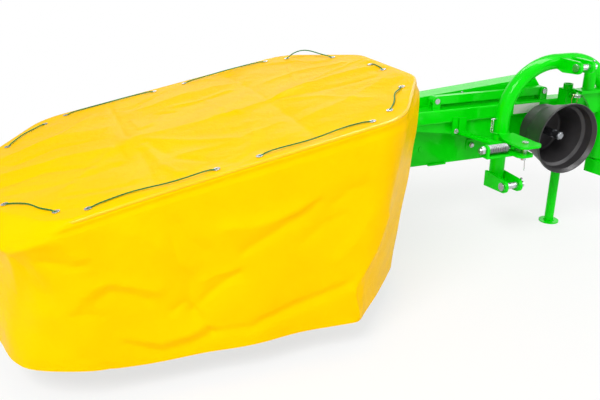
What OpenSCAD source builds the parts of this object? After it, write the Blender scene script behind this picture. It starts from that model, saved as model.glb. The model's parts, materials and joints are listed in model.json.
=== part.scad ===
// Two-drum rotary mower for a tractor's three-point hitch, parked on its stand.
// The origin is on the ground under the inner drum: +X runs to the hitch, -Y to the tractor, +Z up.

/* [Cutting unit] */
// Distance between the two drum axes
drum_span = 660; // [645:5:680]
// Circle swept by the knife tips
knife_circle = 690; // [670:5:700]
// Circle of the knife pins
knife_pin_circle = 490; // [480:5:500]
// Outer diameter of the drum's barrel
barrel_d = 230; // [210:5:240]
// Wall of the spun drum
drum_wall = 4; // [3:0.5:6]
// Diameter of the free-turning skid
skid_d = 430; // [400:5:440]
// Height of the gear beam's middle above the ground
drive_z = 483; // [475:1:495]
// Outer height and width of the gear beam
gear_beam_w = 120; // [116:1:130]

/* [Cover] */
// Half length of the cover's top
cover_half_l = 733; // [720:1:750]
// Half width of the cover's top
cover_half_w = 558; // [545:1:570]
// Height of the cover's top at its middle
cover_mid_z = 714; // [700:1:730]
// Fall of the cover's top towards the outer end, in degrees
cover_fall = 10.7; // [9:0.1:12]
// Height of the hem above the ground
hem_z = 110; // [95:1:130]
// Thickness of the sheet with its welded double edge
sheet_t = 3; // [2.5:0.1:4]
// Diameter of the lacing cord
cord_d = 5; // [4:0.5:6]

/* [Main frame] */
// Height of the main beam's tube
beam_h = 60; // [56:1:64]
// Depth of the main beam's tube
beam_d = 80; // [70:1:86]
// Wall of the main beam's tube
beam_wall = 5; // [4:0.5:8]
// Distance from the inner drum to the power shaft
pto_x = 1270; // [1255:1:1290]
// Distance from the inner drum to the driven pulley, which is also the float pivot
pivot_x = 160; // [150:1:170]
// Depth of the belt housing
housing_d = 90; // [84:1:100]
// Sheet of the belt housing
housing_t = 3; // [2:0.5:4]

/* [Belt drive] */
// Radius of the pulley on the power shaft
big_pulley_r = 138; // [130:1:141]
// Radius of the pulley on the gearbox shaft
small_pulley_r = 78; // [72:1:84]
// Number of V-belts
belt_count = 3; // [2:1:3]

/* [Power shaft] */
// Diameter of the splined stub, over its teeth
spline_d = 35; // [34:0.5:36]
// Diameter of the shaft in its bearings
shaft_d = 40; // [39:0.5:42]
// Rim diameter of the guard cup
cup_rim_d = 310; // [300:2:316]
// Length of the guard cup
cup_l = 192; // [180:1:196]
// Wall of the guard cup
cup_wall = 4; // [3:0.5:5]

/* [Hitch frame] */
// Distance between the two lower hitch points
hitch_span = 556; // [540:2:570]
// Outer diameter of the arch tube
arch_d = 64; // [58:1:66]
// Bend radius of the arch, to the middle of its tube
arch_bend_r = 240; // [225:1:255]
// Height of the arch's middle line
arch_z = 802; // [795:1:815]
// Diameter of the lower hitch pins
lower_pin_d = 28; // [22:0.5:29]
// Diameter of the top-link pin
top_pin_d = 25; // [19:0.5:26]
// Outer diameter of the sleeve that turns on the arch's right leg
sleeve_d = 86; // [80:1:90]

/* [Stand] */
// Outer diameter of the stand's tube
stand_d = 42; // [38:1:44]
// Diameter of the stand's foot
foot_d = 92; // [84:1:100]

/* [Fits] */
// Radial clearance of a shaft in its bore
run_gap = 0.05; // [0.03:0.01:0.08]
// Gap between faces that pass each other
face_gap = 0.5; // [0.3:0.1:1]

/* [Hidden] */
$fn = 48;

// Colours of the finishes
green = [0.0, 0.78, 0.06];
yellow = [1.0, 0.78, 0.0];
zinc = [0.78, 0.79, 0.8];
black = [0.07, 0.07, 0.07];
steel = [0.6, 0.61, 0.63];
bronze = [0.72, 0.52, 0.25];
cord_green = [0.05, 0.3, 0.1];

// Cutting unit
barrel_r = barrel_d / 2;
tip_r = knife_circle / 2;
knife_pin_r = knife_pin_circle / 2;
knife_pin_d = 16;
knife_hole_d = 16.8;
knife_w = 45;
knife_t = 4;
knife_z = 64;
dish_z = 76;
dish_r = knife_pin_r + 17;
plate_t = 6;
barrel_low_z = 140;
gear_half = gear_beam_w / 2;
gear_wall = 8;
beam_low_z = drive_z - gear_half;
barrel_top_z = beam_low_z - 7;
column_r = 45;
column_bore_r = 30;
column_low_z = 205;
gear_out_x = -drum_span - 100;
gear_in_x = pivot_x + 72;
neck_r = 50;
neck_bore_r = 31;
shaft_r = shaft_d / 2;

// Belt plane, from front to back
beam_front_y = 155;
beam_top_z = drive_z + 120;
beam_low = beam_top_z - beam_h;
beam_back_y = beam_front_y + beam_d;
housing_y = beam_back_y;
housing_back_y = housing_y + housing_d;
housing_split_y = housing_y + housing_d / 2;
belt_y = housing_y + housing_d / 2;
belt_pitch = 18;
belt_w = 9.5;
groove_w = 14.4;
groove_depth = 9;
pulley_w = belt_count * belt_pitch + 6;
housing_r = 152;
housing_top_in = 607;
housing_top_out = 690;
housing_left_x = pivot_x - 105;
housing_corner_r = 60;
housing_right_x = pto_x + 30;
beam_in_x = pivot_x + 95;

// Hitch frame: the arch stands in one plane, round the power shaft's axis
arch_y = 38;
arch_r = arch_d / 2;
arch_wall = 5;
leg_left_x = pto_x - hitch_span / 2;
leg_right_x = pto_x + hitch_span / 2;
leg_low_z = 276;
bend_z = arch_z - arch_bend_r;
lower_pin_z = 307;
lower_pin_y = -68;
lower_pin_r = lower_pin_d / 2;
ear_t = 12;
top_pin_z = 797;
top_pin_y = -90;
top_pin_r = top_pin_d / 2;
top_gap = 50;
sleeve_r = sleeve_d / 2;
sleeve_low_z = 354;
sleeve_top_z = beam_low;
brace_z = 653;
brace_t = 15;
beam_out_x = leg_right_x;

// Cup and stand
cup_back_y = beam_front_y - 27;
cup_rim_r = cup_rim_d / 2;
cup_ring_r = 112;
stand_r = stand_d / 2;
stand_x = pto_x + 133;
stand_tube_gap = 0.3;
stand_sleeve_r = stand_r + 5;
stand_y = beam_front_y - stand_sleeve_r;
stand_top_z = 676;
foot_t = 6;

// Release
lug_top_z = 515;
lug_low_z = 475;
lug_t = 10;
release_pin_x = leg_left_x - 7;
release_pin_y = -135;
rod_y = -90;
rod_z = 490;
rod_r = 10;
spring_wire = 6;
spring_r = 17;
spring_x0 = leg_left_x - 157;
spring_turns = 11;
spring_l = 96;

// Cover outline
cover_x = -drum_span / 2;
fall = tan(cover_fall);
hem_half_w = cover_half_w - 26;
eyelet_in = 40;
eyelet_r = 11;
eyelet_hole_r = 5;
hoop_w = 25;

module ycyl(r, y0, y1, x = 0, z = 0) translate([x, y0, z]) rotate([-90, 0, 0]) cylinder(r = r, h = y1 - y0);
module xcyl(r, x0, x1, y = 0, z = 0) translate([x0, y, z]) rotate([0, 90, 0]) cylinder(r = r, h = x1 - x0);
module zcyl(r, z0, z1, x = 0, y = 0) translate([x, y, z0]) cylinder(r = r, h = z1 - z0);
module box(x0, x1, y0, y1, z0, z1) translate([x0, y0, z0]) cube([x1 - x0, y1 - y0, z1 - z0]);
module xz_plate(pts, y0, y1) translate([0, y1, 0]) rotate([90, 0, 0]) linear_extrude(y1 - y0) polygon(pts);
module yz_plate(pts, x0, x1) translate([x0, 0, 0]) rotate([90, 0, 90]) linear_extrude(x1 - x0) polygon(pts);
module xy_plate(pts, z0, z1) translate([0, 0, z0]) linear_extrude(z1 - z0) polygon(pts);
function arc(cx, cy, r, a0, a1, n) = [for (i = [0:n]) let (a = a0 + (a1 - a0) * i / n) [cx + r * cos(a), cy + r * sin(a)]];

// Main frame

beam_corner_r = 8;
module main_beam() color(green) {
    difference() {
        yz_plate(round_poly([[beam_front_y, beam_low], [beam_back_y, beam_low], [beam_back_y, beam_top_z],
            [beam_front_y, beam_top_z]], beam_corner_r, 4), beam_in_x, beam_out_x);
        box(beam_in_x + 8, beam_out_x - 8, beam_front_y + beam_wall, beam_back_y - beam_wall,
            beam_low + beam_wall, beam_top_z - beam_wall);
    }
    for (x = [stay_in_x, stay_out_x], y = [stay_y0 - stay_ear_t - 1, stay_y1 + 1])
        difference() {
            union() {
                box(x - stay_h / 2, x + stay_h / 2, y, y + stay_ear_t, beam_top_z, stay_z);
                ycyl(stay_h / 2, y, y + stay_ear_t, x, stay_z);
            }
            ycyl(stay_pin_r + run_gap, y - 1, y + stay_ear_t + 1, x, stay_z);
        }
}

// The stay that holds the unit for transport lies on the beam between two pairs of ears
stay_in_x = pivot_x + 587;
stay_out_x = pto_x + 37;
stay_h = 36;
stay_y0 = beam_front_y + 24;
stay_y1 = stay_y0 + 25;
stay_z = beam_top_z + 38;
stay_ear_t = 8;
stay_pin_r = 8;

module transport_stay() color(green) difference() {
    union() {
        box(stay_in_x, stay_out_x, stay_y0, stay_y1, stay_z - stay_h / 2, stay_z + stay_h / 2);
        for (x = [stay_in_x, stay_out_x]) ycyl(stay_h / 2, stay_y0, stay_y1, x, stay_z);
    }
    for (x = [stay_in_x, stay_out_x]) ycyl(stay_pin_r + run_gap, stay_y0 - 1, stay_y1 + 1, x, stay_z);
}

module stay_pins() color(zinc) for (x = [stay_in_x, stay_out_x]) {
    ycyl(stay_pin_r, stay_y0 - stay_ear_t - 1, stay_y1 + stay_ear_t + 6, x, stay_z);
    ycyl(stay_pin_r + 4, stay_y0 - stay_ear_t - 7, stay_y0 - stay_ear_t - 1, x, stay_z);
}

// The web under the beam deepens towards the bearing housing
web_y = beam_front_y + 22;
web_t = 6;
web_left_x = pivot_x + 400;
module beam_web() color(green) difference() {
    xz_plate([[web_left_x, beam_low], [web_left_x, beam_low - 10], [pivot_x + 486, beam_low - 28],
        [pivot_x + 729, beam_low - 66], [pto_x - 205, beam_low - 128], [pto_x - 75, beam_low - 150],
        [pto_x + 75, beam_low - 150], [pto_x + 100, beam_low - 60], [pto_x + 100, beam_low]],
        web_y, web_y + web_t);
    ycyl(bearing_r, web_y - 1, web_y + web_t + 1, pto_x, drive_z);
}

// The beam ends at a ring round the neck of the gear beam: the unit floats on it
pivot_ring_r = 72;
pivot_y0 = beam_front_y + 15;
pivot_y1 = beam_back_y - 15;
bush_t = 6;
module pivot_housing() color(green) difference() {
    union() {
        ycyl(pivot_ring_r, pivot_y0, pivot_y1, pivot_x, drive_z);
        xz_plate([[pivot_x - 40, drive_z + 55], [pivot_x, beam_top_z], [beam_in_x, beam_top_z],
            [beam_in_x, beam_low], [pivot_x + 50, drive_z - 45]], pivot_y0 + 5, pivot_y1 - 5);
    }
    ycyl(neck_r + bush_t, pivot_y0 - 1, pivot_y1 + 1, pivot_x, drive_z);
}

module pivot_bush() color(bronze) difference() {
    ycyl(neck_r + bush_t - run_gap, pivot_y0, pivot_y1, pivot_x, drive_z);
    ycyl(neck_r + run_gap, pivot_y0 - 1, pivot_y1 + 1, pivot_x, drive_z);
}

// Outline of the belt housing, drawn smaller by t for its hollow
function housing_top(x) = housing_top_in + (x - pivot_x) * (housing_top_out - housing_top_in) / (pto_x - pivot_x);
function housing_outline(t) = let (
    x0 = housing_left_x + t,
    low = drive_z - housing_r + t,
    r = housing_corner_r - t)
    concat(
        arc(x0 + r, low + r, r, 270, 180, 6),
        arc(x0 + r, housing_top(x0 + r) - t - r, r, 180, 90, 6),
        [[housing_right_x - t / 2, housing_top(housing_right_x) - t]],
        arc(pto_x, drive_z, housing_r - t, 42, -90, 18));

module housing_shell(y0, y1, wall_y0, wall_y1) difference() {
    xz_plate(housing_outline(0), y0, y1);
    xz_plate(housing_outline(housing_t), wall_y0, wall_y1);
}

bracket_x = pto_x - 291;
tab_x = pivot_x + 600;
module belt_housing_front() color(green) {
    difference() {
        housing_shell(housing_y, housing_split_y, housing_y + housing_t, housing_split_y + 1);
        ycyl(neck_r + 8, housing_y - 1, housing_y + housing_t + 1, pivot_x, drive_z);
        ycyl(shaft_r + 6, housing_y - 1, housing_y + housing_t + 1, pto_x, drive_z);
        ycyl(idler_pin_r, housing_y - 1, housing_y + housing_t + 1, idler_x, idler_z);
    }
    // Small bracket with its bolt, and the tab under the housing
    difference() {
        box(bracket_x - 22, bracket_x + 22, housing_y - 6, housing_y, drive_z - 98, drive_z - 52);
        ycyl(6, housing_y - 7, housing_y + 1, bracket_x, drive_z - 77);
    }
    ycyl(6 - run_gap, housing_y - 6, housing_y, bracket_x, drive_z - 77);
    ycyl(10, housing_y - 14, housing_y - 6, bracket_x, drive_z - 77);
    box(tab_x, tab_x + 90, housing_y - 12, housing_y, drive_z - housing_r - 3, drive_z - housing_r + 5);
}

module belt_housing_back() color(green) {
    housing_shell(housing_split_y, housing_back_y, housing_split_y - 1, housing_back_y - housing_t);
    // Stiffening swage along the back wall
    xz_plate([[pivot_x + 120, drive_z - 25], [pto_x - 190, drive_z - 25], [pto_x - 190, drive_z + 25],
        [pivot_x + 120, drive_z + 25]], housing_back_y, housing_back_y + 8);
}

// Belts and pulleys share the grooves' pitch
centre_l = pto_x - pivot_x;
lap_a = acos((small_pulley_r - big_pulley_r) / centre_l);
function belt_outline(d) = concat(
    arc(pto_x, drive_z, big_pulley_r + d, -lap_a, lap_a, 26),
    arc(pivot_x, drive_z, small_pulley_r + d, lap_a, 360 - lap_a, 20));

belt_out = 1;
belt_deep = 5.5;
function belt_mid(i) = belt_y + (i - (belt_count - 1) / 2) * belt_pitch;
module v_belts() color(black) for (i = [0:belt_count - 1])
    translate([0, belt_mid(i) + belt_w / 2, 0]) rotate([90, 0, 0]) linear_extrude(belt_w)
        difference() {
            polygon(belt_outline(belt_out));
            polygon(belt_outline(-belt_deep));
        }

module grooved_wheel(r, bore, x) translate([x, belt_y, drive_z]) rotate([-90, 0, 0]) difference() {
    cylinder(r = r, h = pulley_w, center = true, $fn = 96);
    for (i = [0:belt_count - 1]) translate([0, 0, belt_mid(i) - belt_y]) rotate_extrude($fn = 96)
        polygon([[r + 1, -groove_w / 2 - 0.3], [r + 1, groove_w / 2 + 0.3],
            [r - groove_depth, groove_w / 2 - 2.7], [r - groove_depth, -groove_w / 2 + 2.7]]);
    cylinder(r = bore, h = pulley_w + 2, center = true);
    // Turned recess in the back face
    translate([0, 0, pulley_w / 2 - 12]) difference() {
        cylinder(r = r - groove_depth - 10, h = 13);
        translate([0, 0, -1]) cylinder(r = bore + 14, h = 15);
    }
}

module drive_pulley() color(steel) difference() {
    grooved_wheel(big_pulley_r, shaft_r, pto_x);
    for (a = [0:60:300]) ycyl(20, belt_y - pulley_w, belt_y + pulley_w,
        pto_x + 78 * cos(a), drive_z + 78 * sin(a));
}

module driven_pulley() color(steel) grooved_wheel(small_pulley_r, shaft_r, pivot_x);

// The idler runs inside the belts and presses their lower run outwards
idler_r = 30;
idler_x = pivot_x + 560;
idler_pin_r = 8;
slope = (big_pulley_r - small_pulley_r) / centre_l;
lower_run_z = drive_z - (small_pulley_r - belt_deep + slope * (idler_x - pivot_x)) / sqrt(1 - slope * slope);
idler_z = lower_run_z + (idler_r + 0.3) / sqrt(1 - slope * slope);
module idler_arm() color(green) {
    ycyl(idler_pin_r - run_gap, housing_y - 3, belt_y + pulley_w / 2 + 4, idler_x, idler_z);
    ycyl(12, housing_y - 3, housing_y, idler_x, idler_z);
}

module idler_roller() color(steel) difference() {
    ycyl(idler_r, belt_y - pulley_w / 2, belt_y + pulley_w / 2, idler_x, idler_z);
    ycyl(idler_pin_r, belt_y - pulley_w, belt_y + pulley_w, idler_x, idler_z);
}

// Power input: bearing housing under the beam, shaft with splined stub, moulded guard
bearing_r = 55;
bearing_bore_r = 38;
bearing_back_y = housing_y - 4;
stub_tip_y = cup_back_y - 144;
module bearing_housing() color(green) difference() {
    union() {
        ycyl(bearing_r, cup_back_y, bearing_back_y, pto_x, drive_z);
        ycyl(cup_ring_r - 24, cup_back_y, cup_back_y + 10, pto_x, drive_z);
        box(pto_x - 50, pto_x + 50, web_y + web_t, bearing_back_y, drive_z, beam_low);
        box(pto_x - 50, pto_x + 50, cup_back_y + 10, web_y, drive_z, beam_low);
    }
    ycyl(bearing_bore_r, cup_back_y, bearing_back_y + 1, pto_x, drive_z);
}

module input_bearings() color(steel)
    for (y = [cup_back_y + 9, bearing_back_y - 22]) difference() {
        ycyl(bearing_bore_r - run_gap, y, y + 18, pto_x, drive_z);
        ycyl(shaft_r + run_gap, y - 1, y + 19, pto_x, drive_z);
        // Groove between the inner and outer race
        for (s = [y - 1, y + 15]) difference() {
            ycyl(33, s, s + 4, pto_x, drive_z);
            ycyl(26, s - 1, s + 5, pto_x, drive_z);
        }
    }

spline_root_r = spline_d / 2 - 3;
module input_shaft() color(zinc) {
    ycyl(shaft_r, cup_back_y - 20, belt_y + pulley_w / 2 + 8, pto_x, drive_z);
    ycyl(spline_root_r, stub_tip_y + 2, cup_back_y - 20, pto_x, drive_z);
    translate([pto_x, stub_tip_y, drive_z]) rotate([-90, 0, 0]) cylinder(r1 = spline_root_r - 2, r2 = spline_root_r, h = 2);
    // Six teeth, broken by the groove that holds the coupling's lock
    for (a = [0:60:300], seg = [[stub_tip_y + 4, stub_tip_y + 34], [stub_tip_y + 42, cup_back_y - 20]])
        translate([pto_x, 0, drive_z]) rotate([0, a, 0])
            box(spline_root_r - 1, spline_d / 2, seg[0], seg[1], -4.3, 4.3);
}

cup_step_y = cup_back_y - 62;
cup_bell_y = cup_back_y - 92;
module guard_cup() color(black) translate([pto_x, 0, drive_z]) rotate([-90, 0, 0]) rotate_extrude($fn = 96) polygon([
    [shaft_r + 3, cup_back_y], [cup_ring_r - 6, cup_back_y], [cup_ring_r, cup_back_y - 6],
    [cup_ring_r + 5, cup_step_y], [cup_ring_r + 16, cup_bell_y],
    [cup_rim_r - 5, cup_back_y - cup_l + 12], [cup_rim_r, cup_back_y - cup_l + 10], [cup_rim_r, cup_back_y - cup_l],
    [cup_rim_r - 3.5, cup_back_y - cup_l], [cup_rim_r - 14, cup_back_y - cup_l + 17],
    [cup_rim_r - 17, cup_back_y - cup_l + 54], [cup_rim_r - 29, cup_back_y - cup_l + 64],
    [cup_ring_r + 5, cup_bell_y + 6], [cup_ring_r + 1, cup_step_y - 2],
    [cup_ring_r - cup_wall, cup_back_y - 10], [cup_ring_r - 10, cup_back_y - cup_wall], [shaft_r + 3, cup_back_y - cup_wall]]);

// Sleeve at the beam's outer end: it turns on the arch's right leg
module pivot_sleeve() color(green) difference() {
    union() {
        zcyl(sleeve_r, sleeve_low_z, sleeve_top_z, leg_right_x, arch_y);
        box(leg_right_x - 32, leg_right_x, arch_y + 20, beam_back_y - 10, drive_z, beam_low);
        box(leg_right_x - 32, leg_right_x - 20, arch_y + 20, beam_back_y - 10, drive_z - 90, drive_z);
        box(leg_right_x, leg_right_x + 10, beam_front_y - 15, beam_back_y, drive_z, beam_top_z);
    }
    zcyl(arch_r + run_gap, sleeve_low_z - 1, beam_top_z + 1, leg_right_x, arch_y);
}

// Strap on the beam and the flat arm of the release
strap_x = pivot_x + 674;
module strap_bracket() color(green) {
    difference() {
        box(strap_x - 13, strap_x + 13, beam_front_y - 8, beam_front_y, drive_z + 9, beam_low + 24);
        ycyl(6, beam_front_y - 9, beam_front_y + 1, strap_x, drive_z + 25);
    }
    ycyl(6 - run_gap, beam_front_y - 8, beam_front_y, strap_x, drive_z + 25);
    ycyl(9, beam_front_y - 16, beam_front_y - 8, strap_x, drive_z + 25);
}

arm_z = 489;
arm_t = 11;
arm_w = 38;
arm_root_x = strap_x + arm_w - 2;
function arm_left(t) = [arm_root_x - arm_w / 2, beam_front_y] * (1 - t) + [leg_left_x - 100, -30] * t;
function arm_right(t) = [arm_root_x + arm_w / 2, beam_front_y] * (1 - t) + [leg_left_x - 62, -20] * t;
module release_arm() color(green) difference() {
    union() {
        // The end widens between the two lugs, and its notch takes the catch
        xy_plate([[arm_root_x - arm_w / 2, beam_front_y], [arm_root_x + arm_w / 2, beam_front_y],
            [leg_left_x - 62, -20], [leg_left_x - 34, -56], [leg_left_x - 24, -112], [leg_left_x - 47, -118],
            [leg_left_x - 49, rod_y - 14], [leg_left_x - 43, rod_y], [leg_left_x - 49, rod_y + 14],
            [leg_left_x - 100, -30]], arm_z, arm_z + arm_t);
        box(arm_root_x - arm_w / 2, arm_root_x + arm_w / 2, beam_front_y - 10, beam_front_y, arm_z + arm_t, beam_low + 20);
    }
    // Slot along the middle of the arm
    xy_plate([arm_left(0.3) + [13, 0], arm_right(0.3) - [13, 0], arm_right(0.82) - [13, 0], arm_left(0.82) + [13, 0]],
        arm_z - 1, arm_z + arm_t + 1);
}

// Parking stand: a tube that slides in a sleeve on the beam's front face
sleeve_z0 = beam_low - 3;
sleeve_z1 = beam_top_z + 52;
module stand_sleeve() color(green) {
    difference() {
        union() {
            box(stand_x - stand_sleeve_r - 2, stand_x + stand_sleeve_r + 2, stand_y - stand_sleeve_r, beam_front_y,
                sleeve_z0, sleeve_z1);
            ycyl(13, stand_y - stand_sleeve_r - 8, stand_y, stand_x, lock_z);
        }
        zcyl(stand_r + stand_tube_gap, sleeve_z0 - 1, sleeve_z1 + 1, stand_x, stand_y);
        ycyl(6 + run_gap, stand_y - stand_sleeve_r - 9, stand_y, stand_x, lock_z);
    }
}

lock_z = beam_top_z + 28;
lock_tip_y = stand_y - stand_r - stand_tube_gap;
module stand_lock_screw() color(zinc) {
    ycyl(6, lock_tip_y - 58, lock_tip_y - face_gap, stand_x, lock_z);
    xcyl(5, stand_x - 26, stand_x - 6, lock_tip_y - 50, lock_z);
    xcyl(5, stand_x + 6, stand_x + 26, lock_tip_y - 50, lock_z);
}

module stand_leg() color(green) {
    difference() {
        zcyl(stand_r, foot_t, stand_top_z, stand_x, stand_y);
        zcyl(stand_r - 4, foot_t + 4, stand_top_z + 1, stand_x, stand_y);
    }
    zcyl(foot_d / 2, 0, foot_t, stand_x, stand_y);
}

// Cutting unit

module gear_beam() color(green) difference() {
    union() {
        box(gear_out_x, gear_in_x, -gear_half, gear_half, beam_low_z, drive_z + gear_half);
        for (x = [0, -drum_span]) zcyl(column_r, column_low_z, beam_low_z, x, 0);
        ycyl(neck_r, gear_half, housing_y + 8, pivot_x, drive_z);
    }
    box(gear_out_x + gear_wall, gear_in_x - gear_wall, -gear_half + gear_wall, gear_half - gear_wall,
        beam_low_z + gear_wall, drive_z + gear_half + 1);
    for (x = [0, -drum_span]) zcyl(column_bore_r, column_low_z - 1, beam_low_z + gear_wall + 1, x, 0);
    ycyl(neck_bore_r, gear_half - gear_wall - 1, housing_y + 9, pivot_x, drive_z);
    for (x = [gear_out_x, gear_in_x - gear_wall]) xcyl(bearing_seat_r, x - 1, x + gear_wall + 1, 0, drive_z);
}

bearing_seat_r = 30;
lid_t = 8;
module gear_beam_lid() color(green) {
    box(gear_out_x, gear_in_x, -gear_half, gear_half, drive_z + gear_half, drive_z + gear_half + lid_t);
    for (x = [gear_out_x + 30:(gear_in_x - gear_out_x - 60) / 7:gear_in_x - 20], y = [-gear_half + 12, gear_half - 12])
        zcyl(8, drive_z + gear_half + lid_t, drive_z + gear_half + lid_t + 6, x, y, $fn = 6);
}

module ring_bearing(r_out, r_in, h) difference() {
    cylinder(r = r_out - run_gap, h = h);
    translate([0, 0, -1]) cylinder(r = r_in + run_gap, h = h + 2);
}

module drum_bearings() color(steel) {
    for (x = [0, -drum_span], z = [column_low_z, beam_low_z - 16])
        translate([x, 0, z]) ring_bearing(column_bore_r, shaft_r, 16);
    for (y = [gear_half - gear_wall, housing_y - 10])
        translate([pivot_x, y, drive_z]) rotate([-90, 0, 0]) ring_bearing(neck_bore_r, shaft_r, 16);
    for (x = [gear_out_x, gear_in_x - gear_wall])
        translate([x, 0, drive_z]) rotate([0, 90, 0]) ring_bearing(bearing_seat_r, cross_r, gear_wall);
}

// Bevel gears on their pitch cones, with a small gap between mates
bevel_r = 36;
bevel_face = 14;
mesh_gap = 0.6;
cross_r = 16;
module bevel_45() difference() {
    union() {
        translate([0, 0, -bevel_r]) cylinder(r1 = bevel_r - mesh_gap * 1.5, r2 = bevel_r - bevel_face - mesh_gap * 1.5, h = bevel_face);
        translate([0, 0, -bevel_r - 4]) cylinder(r = bevel_r - mesh_gap * 1.5, h = 4);
    }
}

input_gear_r = 46;
input_gear_d = 23;
module cross_shaft() color(steel) {
    xcyl(cross_r, gear_out_x + 1, gear_in_x - 1, 0, drive_z);
    translate([0, 0, drive_z]) rotate([0, -90, 0]) difference() {
        bevel_45();
        translate([0, 0, -bevel_r - 5]) cylinder(r = cross_r - 1, h = bevel_r);
    }
    translate([-drum_span, 0, drive_z]) rotate([0, 90, 0]) difference() {
        bevel_45();
        translate([0, 0, -bevel_r - 5]) cylinder(r = cross_r - 1, h = bevel_r);
    }
    // Pinion that the input gear drives
    translate([pivot_x - input_gear_r, 0, drive_z]) rotate([0, 90, 0])
        cylinder(r1 = input_gear_d - mesh_gap, r2 = input_gear_d - 6 - mesh_gap, h = 12);
}

module pinion_shaft() color(steel) {
    ycyl(shaft_r, input_gear_d + 9, belt_y + pulley_w / 2 + 4, pivot_x, drive_z);
    translate([pivot_x, input_gear_d - 6 + mesh_gap, drive_z]) rotate([-90, 0, 0])
        cylinder(r1 = input_gear_r - 12 - mesh_gap, r2 = input_gear_r - mesh_gap, h = 6);
    ycyl(input_gear_r - mesh_gap, input_gear_d + mesh_gap, input_gear_d + 9, pivot_x, drive_z);
}

module drum_shaft() color(steel) {
    zcyl(shaft_r, 26, drive_z - bevel_r + 2);
    translate([0, 0, drive_z]) bevel_45();
}

module drum_shell() color(green) difference() {
    rotate_extrude($fn = 96) polygon([
        [column_r + 4, barrel_top_z], [barrel_r - 8, barrel_top_z], [barrel_r, barrel_top_z - 8],
        [barrel_r, barrel_low_z + 10], [barrel_r + 8, barrel_low_z - 8], [barrel_r + 34, dish_z + 34],
        [dish_r - 40, dish_z + 18], [dish_r, dish_z + plate_t + 4], [dish_r, dish_z], [shaft_r + run_gap, dish_z],
        [shaft_r + run_gap, dish_z + 40], [shaft_r + 14, dish_z + 40], [shaft_r + 18, dish_z + plate_t],
        [dish_r - 50, dish_z + plate_t], [dish_r - 50, dish_z + 16],
        [barrel_r + 32 - drum_wall, dish_z + 30], [barrel_r + 8 - drum_wall, barrel_low_z - 6],
        [barrel_r - drum_wall, barrel_low_z + 12], [barrel_r - drum_wall, barrel_top_z - 10],
        [barrel_r - 10, barrel_top_z - drum_wall], [column_r + 4, barrel_top_z - drum_wall]]);
    for (a = [0:120:240]) zcyl(knife_pin_d / 2 + run_gap, dish_z - 1, dish_z + 30,
        knife_pin_r * cos(a), knife_pin_r * sin(a));
}

module knife_pins_at(a0) color(zinc) for (a = [0:120:240]) translate([knife_pin_r * cos(a + a0), knife_pin_r * sin(a + a0), 0]) {
    zcyl(knife_pin_d / 2, knife_z - 2, dish_z + plate_t + 12);
    zcyl(14, knife_z - 8, knife_z - 2);
}

module knife_at(a) color(steel) rotate(a) difference() {
    xy_plate([[knife_pin_r - 20, -12], [knife_pin_r - 8, -knife_w / 2], [tip_r - 6, -knife_w / 2], [tip_r, -knife_w / 2 + 8],
        [tip_r, knife_w / 2 - 8], [tip_r - 6, knife_w / 2], [knife_pin_r - 8, knife_w / 2], [knife_pin_r - 20, 12]],
        knife_z, knife_z + knife_t);
    zcyl(knife_hole_d / 2, knife_z - 1, knife_z + knife_t + 1, knife_pin_r, 0);
}

module skid_dish() color(green) rotate_extrude($fn = 96) polygon([
    [0, 0], [skid_d / 2 - 90, 0], [skid_d / 2 - 30, 9], [skid_d / 2, 30], [skid_d / 2 - 4, 35],
    [skid_d / 2 - 34, 15], [skid_d / 2 - 92, 6], [46, 6], [46, 56], [shaft_r + run_gap, 56], [shaft_r + run_gap, 25], [0, 25]]);

// Phases of the knives keep the two sets apart while the drums turn against each other
inner_phase = 60;
outer_phase = 60;

// The cover and what carries it

// Points of the sloped top, from a place in plan
function top_z(x) = cover_mid_z + (x - cover_x) * fall;

// A corner of a polygon rounded by an arc of n steps
function unit(v) = v / norm(v);
function corner_arc(p, a, b, r, n) = let (
    u = unit(a - p),
    v = unit(b - p),
    half = acos(u * v) / 2,
    t = r / tan(half),
    c = p + unit(u + v) * r / sin(half),
    s = p + u * t,
    e = p + v * t,
    a0 = atan2(s[1] - c[1], s[0] - c[0]),
    a1 = atan2(e[1] - c[1], e[0] - c[0]),
    d = (a1 - a0 > 180) ? a1 - a0 - 360 : (a1 - a0 < -180) ? a1 - a0 + 360 : a1 - a0)
    [for (i = [0:n]) c + r * [cos(a0 + d * i / n), sin(a0 + d * i / n)]];
function round_poly(P, r, n) = let (m = len(P))
    [for (i = [0:m - 1]) each corner_arc(P[i], P[(i + m - 1) % m], P[(i + 1) % m], is_list(r) ? r[i] : r, n)];

// Plan of the top, drawn smaller by d, and of the hem
function top_corners(d) = [
    [cover_half_l - 220 - 0.54 * d, -cover_half_w + d], [cover_half_l - d, -225 + 0.3 * d],
    [cover_half_l - d, 225 - 0.3 * d], [cover_half_l - 220 - 0.54 * d, cover_half_w - d],
    [-cover_half_l + 220 + 0.54 * d, cover_half_w - d], [-cover_half_l + d, 225 - 0.3 * d],
    [-cover_half_l + d, -225 + 0.3 * d], [-cover_half_l + 220 + 0.54 * d, -cover_half_w + d]];
hem_corners = [
    [cover_half_l - 335, -hem_half_w], [cover_half_l - 32, -195], [cover_half_l - 28, 205],
    [cover_half_l - 260, hem_half_w], [-cover_half_l + 240, hem_half_w], [-cover_half_l - 2, 205],
    [-cover_half_l - 8, -205], [-cover_half_l + 143, -hem_half_w + 7]];
hem_r = [130, 130, 130, 130, 130, 130, 130, 250];
edge_r = 150;
ring_n = 3;

// The skirt sways in broad folds that grow towards the hem
function fold(i, m, k) = 9 * k * sin(360 * 7 * i / m) + 5 * k * sin(360 * 12 * i / m + 40);
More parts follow.
